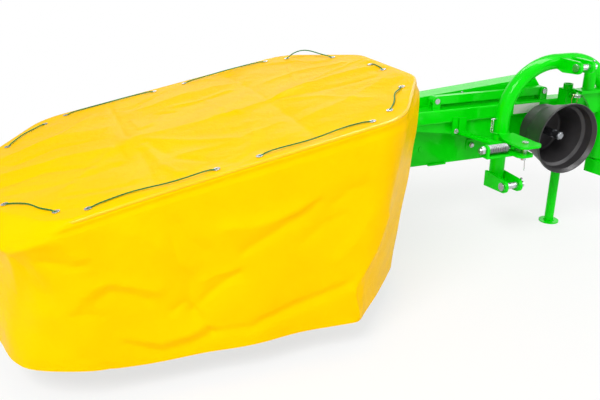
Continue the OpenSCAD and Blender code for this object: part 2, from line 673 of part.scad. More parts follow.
// The inner end stands out just below the edge, over the belt housing
function bulge(x, k) = lookup(k, [[0, 0], [0.12, 26], [0.35, 30], [0.6, 18], [1, 4]]) * max(0, min(1, (x - 430) / 250));
function mixed(A, B, k) = [for (i = [0:len(A) - 1]) A[i] * (1 - k) + B[i] * k];
function skirt_ring(k, t) = let (
    A = round_poly(top_corners(t), edge_r - t, ring_n),
    B = round_poly([for (p = hem_corners) p * (1 - t / cover_half_w)], hem_r, ring_n),
    M = mixed(A, B, k),
    m = len(M))
    [for (i = [0:m - 1]) let (
        p = M[i],
        q = unit(p) * (norm(p) + fold(i, m, k)) + [bulge(p[0], k), 0],
        edge_z = top_z(p[0] + cover_x) - 14)
        [q[0] + cover_x, q[1], edge_z * (1 - k) + hem_z * k]];
function top_ring(d, drop) = [for (p = round_poly(top_corners(d), max(30, edge_r - d), ring_n))
    [p[0] + cover_x, p[1], top_z(p[0] + cover_x) - drop]];

function shell_faces(m, rings) = concat(
    [for (k = [0:rings - 2], i = [0:m - 1]) let (a = k * m + i, b = k * m + (i + 1) % m)
        each [[a, b, b + m], [a, b + m, a + m]]]);

skirt_steps = [0, 0.12, 0.35, 0.6, 0.8, 1];
module cover_sheet() {
    outer = concat([top_ring(250, 6)], [top_ring(90, 0)], [top_ring(4, 0)], [for (k = skirt_steps) skirt_ring(k, 0)]);
    inner = concat([for (j = [len(skirt_steps) - 1:-1:0]) skirt_ring(skirt_steps[j], sheet_t)],
        [[for (p = top_ring(8, 0)) p - [0, 0, sheet_t]]],
        [[for (p = top_ring(90, 0)) p - [0, 0, sheet_t]]], [[for (p = top_ring(250, 6)) p - [0, 0, sheet_t]]]);
    rings = concat(outer, inner);
    m = len(rings[0]);
    n = len(rings);
    top_c = [cover_x, 0, top_z(cover_x) - 8];
    pts = concat([for (r = rings) each r], [top_c, top_c - [0, 0, sheet_t]]);
    polyhedron(pts, concat(shell_faces(m, n),
        [for (i = [0:m - 1]) [m * n, (i + 1) % m, i]],
        [for (i = [0:m - 1]) [m * n + 1, m * (n - 1) + i, m * (n - 1) + (i + 1) % m]]));
}

// Eyelets in pairs round the edge, from the inner end's middle
near_y = -cover_half_w + eyelet_in;
long_x = cover_half_l - 312;
turn_x = cover_half_l - 230;
turn_y = cover_half_w - 87;
slant_x = cover_half_l - 93;
slant_y = 0.423 * cover_half_w + 58;
end_x = cover_half_l - eyelet_in;
pair_x = 64;
pair_y = 53;
eyelet_plan = [
    [-long_x, near_y], [-pair_x, near_y], [pair_x, near_y], [long_x, near_y], [turn_x, -turn_y],
    [slant_x, -slant_y], [end_x, -pair_y], [end_x, pair_y], [slant_x, slant_y], [turn_x, turn_y],
    [long_x, -near_y], [pair_x, -near_y], [-pair_x, -near_y], [-long_x, -near_y], [-turn_x, turn_y],
    [-slant_x, slant_y], [-end_x, pair_y], [-end_x, -pair_y], [-slant_x, -slant_y], [-turn_x, -turn_y]];
function eyelet_pos(i) = let (p = eyelet_plan[i % len(eyelet_plan)])
    [p[0] + cover_x, p[1], top_z(p[0] + cover_x)];

module at_eyelets() for (i = [0:len(eyelet_plan) - 1]) translate(eyelet_pos(i)) rotate([0, -cover_fall, 0]) children();

// Opening in the inner end for the beam and the belt housing
notch_y0 = beam_front_y - 45;
notch_y1 = housing_back_y + 45;
notch_z = 700;
module cover() color(yellow) difference() {
    cover_sheet();
    at_eyelets() cylinder(r = eyelet_hole_r + 1.7, h = 40, center = true, $fn = 8);
    box(cover_x + cover_half_l - 250, cover_x + cover_half_l + 100, notch_y0, notch_y1, 0, notch_z);
}

eyelet_flange = 1.2;
module eyelets() color(zinc) at_eyelets() rotate_extrude($fn = 24) polygon([
    [eyelet_hole_r, -sheet_t - 0.4 - eyelet_flange], [eyelet_r, -sheet_t - 0.4 - eyelet_flange], [eyelet_r, -sheet_t - 0.4],
    [eyelet_hole_r + 1, -sheet_t - 0.4], [eyelet_hole_r + 1, 0.4], [eyelet_r, 0.4],
    [eyelet_r, 0.4 + eyelet_flange], [eyelet_hole_r, 0.4 + eyelet_flange]]);

// The cord passes up and down through the eyelets, over the sheet between every second pair
cord_r = cord_d / 2;
cord_sides = 8;
over_lift = cord_r + 2.6;
under_drop = sheet_t + cord_r + 2.8;
cord_bend = 7;
function cord_h(i) = i % 2 == 0 ? over_lift : -under_drop;
function cord_turn(i) = let (
    n = len(eyelet_plan),
    p = eyelet_pos(i),
    before = unit(eyelet_pos((i + n - 1) % n) - p),
    after = unit(eyelet_pos((i + 1) % n) - p),
    h0 = cord_h(i + 1),
    h1 = cord_h(i))
    [p + before * cord_bend + [0, 0, h0], p + [0, 0, h0 * 0.62], p + [0, 0, h1 * 0.62], p + after * cord_bend + [0, 0, h1]];
cord_route = [for (i = [0:len(eyelet_plan) - 1]) each cord_turn(i)];
function ring_at(P, i) = let (
    m = len(P),
    d = unit(P[(i + 1) % m] - P[(i + m - 1) % m]),
    s = unit(cross(d, [0, 0, 1])),
    u = cross(s, d))
    [for (k = [0:cord_sides - 1]) let (a = 360 * k / cord_sides) P[i] + cord_r * (s * cos(a) + u * sin(a))];
module lacing_cord() color(cord_green) {
    m = len(cord_route);
    polyhedron([for (i = [0:m - 1]) each ring_at(cord_route, i)],
        [for (i = [0:m - 1], k = [0:cord_sides - 1]) let (
            a = i * cord_sides + k,
            b = i * cord_sides + (k + 1) % cord_sides,
            j = ((i + 1) % m) * cord_sides,
            c = j + (k + 1) % cord_sides,
            d = j + k)
            each [[a, b, c], [a, c, d]]]);
}

// Flat-topped hoop under the cover's edge, in the plane of its fall
module in_top_plane() translate([cover_x, 0, cover_mid_z - sheet_t - 1.2]) rotate([0, -cover_fall, 0]) children();
function plane_x(x) = x / cos(cover_fall);
hoop_in = 10;
module hoop_area(d) polygon([for (p = round_poly(top_corners(d), edge_r - d, ring_n)) [plane_x(p[0]), p[1]]]);
module cover_hoop() color(green) in_top_plane() translate([0, 0, -hoop_w]) {
    linear_extrude(hoop_w) difference() {
        hoop_area(hoop_in);
        hoop_area(hoop_in + hoop_w * 0.66);
    }
    for (x = [-drum_span / 2, drum_span / 2]) translate([x - hoop_w / 2, -cover_half_w + 20, 0])
        cube([hoop_w, 2 * cover_half_w - 40, hoop_w - 10]);
}

post_w = 40;
module cover_posts() color(green) difference() {
    for (x = [cover_x - drum_span / 2, cover_x + drum_span / 2]) {
        box(x - post_w / 2, x + post_w / 2, -gear_half - post_w / 2 - 1, -gear_half, beam_low_z + 20, top_z(x) - 20);
        box(x - post_w / 2, x + post_w / 2, gear_half, gear_half + post_w / 2 + 1, beam_low_z + 20, top_z(x) - 20);
    }
    in_top_plane() translate([-cover_half_l, -cover_half_w, -hoop_w]) cube([2 * cover_half_l, 2 * cover_half_w, 200]);
}

// Hitch frame

// Solid of the arch tube at radius r
module arch_solid(r, over = 0) {
    for (x = [leg_left_x, leg_right_x]) zcyl(r, leg_low_z - over, bend_z, x, arch_y);
    translate([leg_left_x + arch_bend_r, arch_y, bend_z]) rotate([90, 0, 0]) rotate([0, 0, 90])
        rotate_extrude(angle = 90) translate([arch_bend_r, 0]) circle(r);
    translate([leg_right_x - arch_bend_r, arch_y, bend_z]) rotate([90, 0, 0])
        rotate_extrude(angle = 90) translate([arch_bend_r, 0]) circle(r);
    xcyl(r, leg_left_x + arch_bend_r, leg_right_x - arch_bend_r, arch_y, arch_z);
}

module hitch_arch() color(green) difference() {
    arch_solid(arch_r);
    arch_solid(arch_r - arch_wall, 1);
}

lug_r = 27;
module top_link_lugs() color(green) difference() {
    for (x = [pto_x - top_gap / 2 - ear_t, pto_x + top_gap / 2])
        yz_plate(concat([[arch_y, arch_z + 20], [arch_y, arch_z - 25], [arch_y - 50, arch_z - 38]],
            arc(top_pin_y, top_pin_z, lug_r, -110, -250, 10)), x, x + ear_t);
    xcyl(arch_r, pto_x - 80, pto_x + 80, arch_y, arch_z);
    xcyl(top_pin_r + run_gap, pto_x - 80, pto_x + 80, top_pin_y, top_pin_z);
}

module top_link_pin() color(zinc) {
    xcyl(top_pin_r, pto_x - top_gap / 2 - ear_t, pto_x + top_gap / 2 + ear_t + 22, top_pin_y, top_pin_z);
    xcyl(top_pin_r + 4, pto_x - top_gap / 2 - ear_t - 8, pto_x - top_gap / 2 - ear_t, top_pin_y, top_pin_z);
}

// Lower clevises: two ears on each leg's lower end
clevis_r = 28;
module clevis_ear(x) yz_plate(concat([[arch_y + 24, lower_pin_z + 32], [arch_y + 24, leg_low_z - 6]],
    arc(lower_pin_y, lower_pin_z, clevis_r, -90, -270, 10)), x, x + ear_t);
module lower_clevises() color(green) difference() {
    for (x = [leg_left_x, leg_right_x], s = [-1, 1])
        clevis_ear(s < 0 ? x - arch_r - ear_t + 2 : x + arch_r - 2);
    for (x = [leg_left_x, leg_right_x]) {
        zcyl(arch_r, leg_low_z - 10, leg_low_z + 100, x, arch_y);
        xcyl(lower_pin_r + run_gap, x - 60, x + 60, lower_pin_y, lower_pin_z);
    }
}

module lower_pins() color(zinc) for (x = [leg_left_x, leg_right_x]) {
    xcyl(lower_pin_r, x - arch_r - ear_t + 2, x + arch_r + ear_t + 16, lower_pin_y, lower_pin_z);
    xcyl(lower_pin_r + 4, x - arch_r - ear_t - 6, x - arch_r - ear_t + 2, lower_pin_y, lower_pin_z);
}

// Brace between the arch's crown and its right leg, with a web cut round the guard
strut_r = 26;
strut_x = pto_x + 163;
brace_clear_r = 207;
module pivot_brace() color(green) difference() {
    union() {
        box(pto_x + 103, leg_right_x - 22, arch_y - 30, arch_y + 30, brace_z, brace_z + brace_t);
        zcyl(strut_r, brace_z + brace_t, arch_z - 20, strut_x, arch_y);
        box(pto_x + 105, leg_right_x - 10, arch_y - 6, arch_y + 6, sleeve_top_z + 14, brace_z);
    }
    arch_solid(arch_r);
    // Nothing is kept above the arch's middle line
    translate([leg_right_x - arch_bend_r, arch_y, bend_z]) rotate([90, 0, 0]) rotate_extrude(angle = 90)
        translate([arch_bend_r, -60]) square([80, 120]);
    ycyl(brace_clear_r, arch_y - 8, arch_y + 8, pto_x, drive_z);
}

// Collars that hold the sleeve's place on the leg
module pivot_collars() color(green) for (z = [sleeve_low_z - 12.5, sleeve_top_z + face_gap]) difference() {
    zcyl(sleeve_r, z, z + 12, leg_right_x, arch_y);
    zcyl(arch_r + run_gap, z - 1, z + 13, leg_right_x, arch_y);
}

// Release: two horizontal lugs on the left leg hold the arm's end, and a sprung rod catches it
module lug_plate(z, tip_x, tip_y, tip_r) difference() {
    xy_plate(concat([[leg_left_x - 56, -60], [leg_left_x - 30, 12], [leg_left_x + 44, 12]],
        arc(tip_x, tip_y, tip_r, 20, -90, 8), [[leg_left_x - 40, tip_y - tip_r], [leg_left_x - 56, tip_y - tip_r + 16]]), z, z + lug_t);
    zcyl(arch_r, z - 1, z + lug_t + 1, leg_left_x, arch_y);
    zcyl(10 + run_gap, z - 1, z + lug_t + 1, release_pin_x, release_pin_y);
}

ear_r = 23;
bar_z = rod_z - spring_r - spring_wire / 2 - 12;
module release_lugs() color(green) {
    lug_plate(lug_top_z - lug_t, leg_left_x + 20, -152, 31);
    lug_plate(lug_low_z - lug_t, leg_left_x - 2, -148, 24);
    // Rounded ear at the far end of the spring, on a bar from the lower lug
    difference() {
        union() {
            xcyl(ear_r, spring_x0 - 12, spring_x0 - face_gap, rod_y, rod_z);
            box(spring_x0 - 12, spring_x0 - face_gap, rod_y - ear_r, rod_y + ear_r, bar_z, rod_z - 4);
            box(spring_x0 - 12, leg_left_x - 44, rod_y - ear_r, rod_y + ear_r, bar_z, bar_z + 10);
        }
        xcyl(rod_r + run_gap, spring_x0 - 20, spring_x0 + 10, rod_y, rod_z);
    }
}

module release_pin() color(zinc) {
    zcyl(10, lug_low_z - lug_t - 20, lug_top_z, release_pin_x, release_pin_y);
    zcyl(14, lug_top_z, lug_top_z + 7, release_pin_x, release_pin_y);
}

catch_x = spring_x0 + spring_l + face_gap;
module catch_rod() color(zinc) {
    xcyl(rod_r, spring_x0 - 38, catch_x + 8, rod_y, rod_z);
    xcyl(18, spring_x0 - 30, spring_x0 - 14, rod_y, rod_z, $fn = 6);
    xcyl(14, catch_x, catch_x + 8, rod_y, rod_z);
    translate([catch_x + 8, rod_y, rod_z]) rotate([0, 90, 0]) cylinder(r1 = rod_r - 1, r2 = 3, h = 7);
}

// Compression spring with closed ends, one unbroken wire
wire_sides = 6;
spring_rings = spring_turns * 8;
function spring_point(i) = let (
    k = i / spring_rings,
    end = 1.1 / spring_turns,
    ramp = k < end ? k / end * 0.52 : k > 1 - end ? (1 - k) / end * 0.52 : 0,
    lead = spring_l - spring_wire + 0.4,
    mid = (lead - 2 * closed) / (1 - 2 * end),
    x = k < end ? closed * k / end : k > 1 - end ? lead - closed * (1 - k) / end : closed + mid * (k - end))
    [spring_x0 + spring_wire / 2 - 0.2 + x, rod_y + spring_r * cos(45 * i), rod_z + spring_r * sin(45 * i)];
closed = 7.2;
spring_path = [for (i = [0:spring_rings]) spring_point(i)];
spring_gap = min([for (i = [0:spring_rings - 8]) norm(spring_path[i + 8] - spring_path[i])]) - spring_wire;
echo(spring_least_gap = spring_gap);
module release_spring() color(zinc) {
    m = len(spring_path);
    ring = [for (i = [0:m - 1]) let (
        p = spring_path[i],
        d = unit(spring_path[min(i + 1, m - 1)] - spring_path[max(i - 1, 0)]),
        s = unit(p - [p[0], rod_y, rod_z]),
        u = cross(d, s))
        each [for (k = [0:wire_sides - 1]) let (a = 360 * k / wire_sides) p + spring_wire / 2 * (s * cos(a) + u * sin(a))]];
    polyhedron(ring, concat(
        [for (i = [0:m - 2], k = [0:wire_sides - 1]) let (
            a = i * wire_sides + k,
            b = i * wire_sides + (k + 1) % wire_sides)
            each [[a, b + wire_sides, b], [a, a + wire_sides, b + wire_sides]]],
        [[for (k = [0:wire_sides - 1]) k]],
        [[for (k = [wire_sides - 1:-1:0]) (m - 1) * wire_sides + k]]));
}

// Wire linchpins through the ends of the pins, each with its ring
module linchpin(r) {
    cylinder(r = 2.6, h = 2 * r + 16, center = true, $fn = 16);
    translate([0, 0, r + 8]) rotate([90, 0, 0]) rotate_extrude($fn = 24) translate([11, 0]) circle(1.8, $fn = 12);
}

module linchpins() color(zinc) {
    for (x = [leg_left_x, leg_right_x]) translate([x + arch_r + ear_t + 8, lower_pin_y, lower_pin_z]) linchpin_body(lower_pin_r);
    translate([pto_x + top_gap / 2 + ear_t + 12, top_pin_y, top_pin_z]) linchpin_body(top_pin_r);
    translate([release_pin_x, release_pin_y, lug_low_z - lug_t - 10]) rotate([0, 90, 0]) linchpin_body(10);
}

// What shows of a linchpin: a stub on each side of the pin, and the ring round it
module linchpin_body(r) {
    for (s = [0, 180]) rotate([s, 0, 0]) translate([0, 0, r + 0.2]) cylinder(r = 2.6, h = 9, $fn = 16);
    translate([0, 0, r + 9.2]) cylinder(r = 5, h = 5, $fn = 16);
    rotate([0, 90, 0]) rotate_extrude(angle = 150) translate([r + 6, 0]) circle(1.6, $fn = 12);
}

// Short chain that hangs from a bolt on the left leg
chain_x = leg_left_x - arch_r - 16;
chain_z = beam_top_z - 27;
link_wire = 2;
module chain_link(turn) rotate([0, 0, turn]) rotate([90, 0, 0]) rotate_extrude($fn = 20) translate([6.5, 0]) circle(link_wire, $fn = 10);
module keeper_chain() color(zinc) {
    xcyl(4, chain_x - 8, leg_left_x - arch_r + 0.2, arch_y, chain_z);
    for (i = [0:4]) translate([chain_x, arch_y, chain_z - 8.4 - i * 10.6]) chain_link(i % 2 == 0 ? 90 : 0);
}

main_beam();
beam_web();
pivot_housing();
pivot_bush();
belt_housing_front();
belt_housing_back();
v_belts();
bearing_housing();
input_bearings();
guard_cup();
pivot_sleeve();
transport_stay();
stay_pins();
strap_bracket();
release_arm();
stand_sleeve();
stand_lock_screw();
idler_arm();
idler_roller();
input_shaft();
drive_pulley();
gear_beam();
gear_beam_lid();
drum_bearings();
cover_hoop();
cover_posts();
cover();
eyelets();
lacing_cord();
pinion_shaft();
driven_pulley();
cross_shaft();
drum_shaft();  // drum_shaft_inner
rotate(inner_phase) drum_shell();  // drum_inner
knife_pins_at(inner_phase);  // knife_pins_inner
skid_dish();  // skid_inner
knife_at(inner_phase);  // knife_inner_1
knife_at(inner_phase + 120);  // knife_inner_2
knife_at(inner_phase + 240);  // knife_inner_3
translate([-drum_span, 0, 0]) drum_shaft();  // drum_shaft_outer
translate([-drum_span, 0, 0]) rotate(outer_phase) drum_shell();  // drum_outer
translate([-drum_span, 0, 0]) knife_pins_at(outer_phase);  // knife_pins_outer
translate([-drum_span, 0, 0]) skid_dish();  // skid_outer
translate([-drum_span, 0, 0]) knife_at(outer_phase);  // knife_outer_1
translate([-drum_span, 0, 0]) knife_at(outer_phase + 120);  // knife_outer_2
translate([-drum_span, 0, 0]) knife_at(outer_phase + 240);  // knife_outer_3
hitch_arch();
top_link_lugs();
top_link_pin();
lower_clevises();
lower_pins();
pivot_brace();
pivot_collars();
release_lugs();
release_pin();
linchpins();
release_spring();
catch_rod();
keeper_chain();
stand_leg();
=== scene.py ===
import json
import math

import bmesh
import bpy
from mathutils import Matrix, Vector, noise


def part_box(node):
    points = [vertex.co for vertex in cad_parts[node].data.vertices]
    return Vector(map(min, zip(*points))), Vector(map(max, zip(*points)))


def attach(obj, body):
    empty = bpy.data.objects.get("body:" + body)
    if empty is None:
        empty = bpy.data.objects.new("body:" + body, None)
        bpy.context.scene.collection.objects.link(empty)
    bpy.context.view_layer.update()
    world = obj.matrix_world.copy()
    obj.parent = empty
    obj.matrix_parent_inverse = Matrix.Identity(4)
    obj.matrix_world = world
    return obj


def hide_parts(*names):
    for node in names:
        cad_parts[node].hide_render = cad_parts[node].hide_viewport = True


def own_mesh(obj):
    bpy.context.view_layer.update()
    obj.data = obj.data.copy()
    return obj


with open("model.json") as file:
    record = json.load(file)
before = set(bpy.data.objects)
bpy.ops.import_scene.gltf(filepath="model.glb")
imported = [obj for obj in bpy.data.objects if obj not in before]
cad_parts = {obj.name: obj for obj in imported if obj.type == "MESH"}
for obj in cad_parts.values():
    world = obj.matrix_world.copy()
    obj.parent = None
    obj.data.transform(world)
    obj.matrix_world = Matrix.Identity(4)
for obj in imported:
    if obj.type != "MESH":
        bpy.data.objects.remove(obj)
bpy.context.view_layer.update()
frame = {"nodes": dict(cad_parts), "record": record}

bl_info = {
    "name": "Drum mower dresser",
    "version": (1, 0, 0),
    "blender": (4, 5, 0),
    "location": "View3D > Sidebar > Mower",
    "description": "Dresses the packed drum mower with its cover, cord, welds and finishes",
    "category": "Object",
}

MM = 0.001

# The cover's own sizes, the same as in the part's source
COVER_X = -0.330
TOP_Z = 0.714
TOP_FALL = math.tan(math.radians(10.7))
HALF_L = 0.733
HALF_W = 0.558
HEM_HALF_W = HALF_W - 0.026
EDGE_R = 0.150
HEM_Z = 0.110
NOTCH_Y = (0.110, 0.370)
NOTCH_Z = 0.700

# A quarter of the eyelets' places in plan, and all of them in the order in which the cord passes them
NEAR_Y = -HALF_W + 0.040
QUARTER = [(0.064, NEAR_Y), (0.421, NEAR_Y), (0.503, -0.471), (0.640, -0.294), (0.693, -0.053)]
RING = (QUARTER + [(x, -y) for x, y in reversed(QUARTER)]
        + [(-x, -y) for x, y in QUARTER] + [(-x, y) for x, y in reversed(QUARTER)])
EYELETS = RING[-2:] + RING[:-2]

# The room: how bright gloss sees the floor, the walls and the ceiling, against 1 for the camera
WHITE = (1, 1, 1, 1)
FLOOR_GLOSS = 0.35
WALL_GLOSS = 0.4
CEILING_GLOSS = 0.2

# The photo's camera, solved from the eyelets, the beam and the guard
CAMERA_PLACE = (-0.821, -2.3055, 1.343)
CAMERA_TURN = (math.radians(68.05), 0, math.radians(-20.8))
CAMERA_LENS = 41.04

# Lamps by their setting: name, place and aim, width and height in metres, and whether they light
# the machine or show in its gloss alone
LAMPS = {
    "key": ("key_lamp", (-3.0, -3.5, 5.0), (0.1, 0, 0.4), 2.6, 2.6, True),
    "fill": ("fill_lamp", (4.6, -2.6, 2.4), (0.6, 0, 0.4), 2.4, 2.4, True),
    "rear": ("rear_lamp", (3.0, 5.2, 2.4), (0.8, 0, 0.7), 8.0, 1.4, True),
    "gloss": ("gloss_panel", (1.7, 0.3, 4.2), (1.0, 0, 0.6), 6.0, 1.2, False),
}


def hex_colour(name, description, default):
    return bpy.props.StringProperty(name=name, description=description + ", sRGB hex", default=default)


def metres(name, description, default, low, high):
    return bpy.props.FloatProperty(
        name=name, description=description, default=default, unit="LENGTH", min=low, max=high)


def lamp_power(name, description, default):
    return bpy.props.FloatProperty(
        name=name, description="Power of the " + description, default=default, subtype="POWER",
        min=0.0, max=2000.0)


class CoverSettings(bpy.types.PropertyGroup):
    sheet: metres("Sheet", "Thickness of the coated sheet", 0.0009, 0.0005, 0.003)
    sway: metres("Sway", "How far the skirt's folds stand out at the hem", 0.008, 0.0, 0.03)
    colour: hex_colour("Sheet colour", "Colour of the coated sheet", "#FFC800")
    cord: hex_colour("Cord colour", "Colour of the lacing cord", "#1E6B2A")


class PaintSettings(bpy.types.PropertyGroup):
    green: hex_colour("Enamel", "Colour of the frame's enamel", "#00DC04")
    roughness: bpy.props.FloatProperty(
        name="Enamel roughness", description="How matt the enamel is", default=0.34, min=0.05, max=0.9)


class StageSettings(bpy.types.PropertyGroup):
    floor: hex_colour("Floor", "Colour of the floor", "#ECECEC")
    key: lamp_power("Key lamp", "large lamp at the left front", 325.0)
    fill: lamp_power("Fill lamp", "lamp at the right front", 68.0)
    rear: lamp_power("Rear lamp", "lamp behind, which draws the gloss", 60.0)
    gloss: lamp_power("Gloss panel", "overhead panel that only gloss mirrors", 380.0)
    sky: bpy.props.FloatProperty(
        name="Sky", description="Strength of the white surroundings on the object", default=0.55,
        min=0.0, max=2.0)


# Colours and nodes

def to_linear(code):
    """sRGB hex to the linear colour that a shader takes."""
    parts = [int(code[i:i + 2], 16) / 255 for i in (1, 3, 5)]
    return tuple([c / 12.92 if c <= 0.04045 else ((c + 0.055) / 1.055) ** 2.4 for c in parts] + [1.0])


def shade(code, factor):
    parts = [min(255, max(0, round(int(code[i:i + 2], 16) * factor))) for i in (1, 3, 5)]
    return "#%02X%02X%02X" % tuple(parts)


def add_node(tree, kind, links=(), **settings):
    """Adds a shader node, sets its properties and sockets, and links (output, input name) pairs into it."""
    node = tree.nodes.new("ShaderNode" + kind)
    for key, value in settings.items():
        if hasattr(node, key):
            setattr(node, key, value)
        else:
            node.inputs[key.replace("_", " ")].default_value = value
    for source, name in links:
        tree.links.new(source, node.inputs[name])
    return node


def combine(tree, operation, first, second):
    return add_node(tree, "Math", [(first, 0), (second, 1)], operation=operation).outputs[0]


def new_finish(name):
    material = bpy.data.materials.new(name)
    material.use_nodes = True
    tree = material.node_tree
    tree.nodes.clear()
    shader = add_node(tree, "BsdfPrincipled")
    output = add_node(tree, "OutputMaterial")
    tree.links.new(shader.outputs["BSDF"], output.inputs["Surface"])
    place = add_node(tree, "TexCoord").outputs["Object"]
    return material, tree, shader, place


def mottle(tree, place, light, dark, size, contrast, detail):
    """A soft mix of two shades with patches of the given size in metres."""
    cloud = add_node(tree, "TexNoise", [(place, "Vector")], Scale=1 / size, Detail=detail, Roughness=0.55)
    ramp = add_node(tree, "ValToRGB", [(cloud.outputs["Fac"], "Fac")])
    dark_end, light_end = ramp.color_ramp.elements
    dark_end.position = 0.5 - contrast / 2
    light_end.position = 0.5 + contrast / 2
    dark_end.color = to_linear(dark)
    light_end.color = to_linear(light)
    return ramp.outputs["Color"]


def relief(tree, shader, place, size, depth, strength, edge=0.0):
    """Bump from noise whose grains have the given size in metres, over edges rounded by edge metres."""
    grain = add_node(tree, "TexNoise", [(place, "Vector")], Scale=1 / size, Detail=2.0)
    links = [(grain.outputs["Fac"], "Height")]
    if edge:
        links.append((add_node(tree, "Bevel", samples=4, Radius=edge).outputs[0], "Normal"))
    bump = add_node(tree, "Bump", links, Strength=strength, Distance=depth)
    tree.links.new(bump.outputs["Normal"], shader.inputs["Normal"])


def set_sockets(node, sockets):
    for socket, value in sockets.items():
        node.inputs[socket].default_value = value


def patchy_finish(name, light, dark, patch, sockets, contrast=0.7, detail=4.0, grain=None, edge=0.0):
    """A finish in two shades in patches, with plain sockets and a grain of size, depth and strength."""
    material, tree, shader, place = new_finish(name)
    tree.links.new(mottle(tree, place, light, dark, patch, contrast, detail), shader.inputs["Base Color"])
    set_sockets(shader, sockets)
    if grain:
        relief(tree, shader, place, *grain, edge=edge)
    return material, tree, shader, place


def green_enamel():
    # Two-part enamel sprayed on welded steel: a deep clean green under a thin clear gloss, with rounded
    # edges that catch the light and a faint orange peel. Its IOR is matched to the photographed gloss.
    look = bpy.context.scene.paint_settings
    sockets = {"Roughness": look.roughness, "IOR": 1.15, "Coat Weight": 0.2, "Coat Roughness": 0.05}
    return patchy_finish("sprayed_green_enamel", look.green, shade(look.green, 0.965), 0.06, sockets,
                         contrast=0.6, grain=(0.004, 0.0002, 0.14), edge=0.0028)[0]


# Finishes without settings: material name, light and dark shade, patch size in metres and plain
# sockets, and then the contrast, the grain's size, depth and strength, and the edges' radius
PLAIN_FINISHES = {
    # Bright zinc plate on turned steel: pale, slightly blue, with cloudy passivation
    "zinc": (("bright_zinc_plate", "#D3D6D9", "#A9ADB1", 0.012, {"Metallic": 1.0, "Roughness": 0.27}),
             {"grain": (0.002, 0.0001, 0.2), "edge": 0.0008}),
    # Spring wire with a yellow chromate passivation: pale gold
    "wire": (("yellow_passivated_wire", "#DCC877", "#B9A86C", 0.006, {"Metallic": 1.0, "Roughness": 0.3}),
             {}),
    # Ground and turned steel with an oil film: grey and finely grained
    "steel": (("turned_steel", "#A9ACAF", "#8C9094", 0.02, {"Metallic": 1.0, "Roughness": 0.36}),
              {"contrast": 0.6, "grain": (0.0015, 0.0001, 0.25)}),
    # Sand-cast iron: dark grey and grainy, with sand marks about 1 mm across
    "iron": (("sand_cast_iron", "#5A5C5F", "#3F4144", 0.01, {"Metallic": 0.7, "Roughness": 0.62}),
             {"grain": (0.0012, 0.0004, 0.6)}),
    # Blow-moulded polythene of the guard: dark grey, satin, with a faint leathery grain
    "polythene": (("moulded_black_polythene", "#333133", "#282728", 0.05, {"Roughness": 0.42, "IOR": 1.5}),
                  {"grain": (0.0025, 0.0002, 0.3), "edge": 0.002}),
    # Fabric-wrapped V-belt: dull black rubber
    "rubber": (("wrapped_belt_rubber", "#222222", "#171717", 0.008, {"Roughness": 0.8}),
               {"grain": (0.0008, 0.0002, 0.5)}),
    # Cast bronze bush: warm, satin
    "bronze": (("cast_bronze", "#B98A4A", "#9A7038", 0.01, {"Metallic": 1.0, "Roughness": 0.4}),
               {"contrast": 0.6}),
    # Blank vinyl label: off-white and satin, a little crinkled
    "label": (("blank_vinyl_label", "#E9E9E7", "#D9D9D6", 0.02, {"Roughness": 0.4}),
              {"grain": (0.008, 0.0004, 0.4)}),
}


# A wave texture's bands lie 20 times as close as its scale says
BAND_FACTOR = 20


def stripes(tree, direction, spacing, wobble=0.0):
    """Bands across the piece's UV, spacing metres apart."""
    uv = add_node(tree, "TexCoord").outputs["UV"]
    wave = add_node(tree, "TexWave", [(uv, "Vector")], wave_type="BANDS", bands_direction=direction,
                    Scale=math.tau / spacing / BAND_FACTOR, Distortion=wobble)
    return wave.outputs["Fac"]


def coated_sheet():
    # PVC-coated polyester: bright yellow with a soft gloss; the weave under the coat shows as a fine
    # grid, drawn 3 mm apart because the real 1 mm threads are too fine to show
    look = bpy.context.scene.cover_settings
    material, tree, shader, place = patchy_finish(
        "coated_polyester_sheet", look.colour, shade(look.colour, 0.955), 0.16,
        {"Roughness": 0.26, "IOR": 1.055}, detail=3.0)
    weave = combine(tree, "MULTIPLY", stripes(tree, "X", 0.003, 0.4), stripes(tree, "Y", 0.003, 0.4))
    fine = add_node(tree, "Bump", [(weave, "Height")], Strength=0.1, Distance=0.0003)
    cloud = add_node(tree, "TexNoise", [(place, "Vector")], Scale=9.0, Detail=5.0, Roughness=0.6)
    links = [(cloud.outputs["Fac"], "Height"), (fine.outputs["Normal"], "Normal")]
    slack = add_node(tree, "Bump", links, Strength=0.35, Distance=0.02)
    tree.links.new(slack.outputs["Normal"], shader.inputs["Normal"])
    return material


def welded_tape():
    # Welded double edge of the same sheet: a little darker where two layers lie
    look = bpy.context.scene.cover_settings
    return patchy_finish("welded_sheet_edge", shade(look.colour, 0.98), shade(look.colour, 0.92), 0.05,
                         {"Roughness": 0.22, "IOR": 1.38}, grain=(0.006, 0.0004, 0.4))[0]


def plaited_cord():
    # Plaited polypropylene cord: dark green and slightly shiny, plait drawn 6 mm long. Its colour follows the
    # plait's bands: painted shade in the grooves between the strands and a painted highlight on their crowns
    look = bpy.context.scene.cover_settings
    material, tree, shader, place = new_finish("plaited_polypropylene_cord")
    plait = stripes(tree, "DIAGONAL", 0.006)
    # Painted shade and highlight: darker green in the plait's grooves, lighter green on the strands' crowns
    ramp = add_node(tree, "ValToRGB", [(plait, "Fac")])
    ramp.color_ramp.elements[0].color = to_linear(shade(look.cord, 0.75))
    ramp.color_ramp.elements[1].color = to_linear(shade(look.cord, 1.35))
    tree.links.new(ramp.outputs["Color"], shader.inputs["Base Color"])
    set_sockets(shader, {"Roughness": 0.55, "IOR": 1.3})
    bump = add_node(tree, "Bump", [(plait, "Height")], Strength=0.6, Distance=0.0008)
    tree.links.new(bump.outputs["Normal"], shader.inputs["Normal"])
    return material


FITTED_FINISHES = {"enamel": green_enamel, "sheet": coated_sheet, "tape": welded_tape, "cord": plaited_cord}
FINISHES = {}


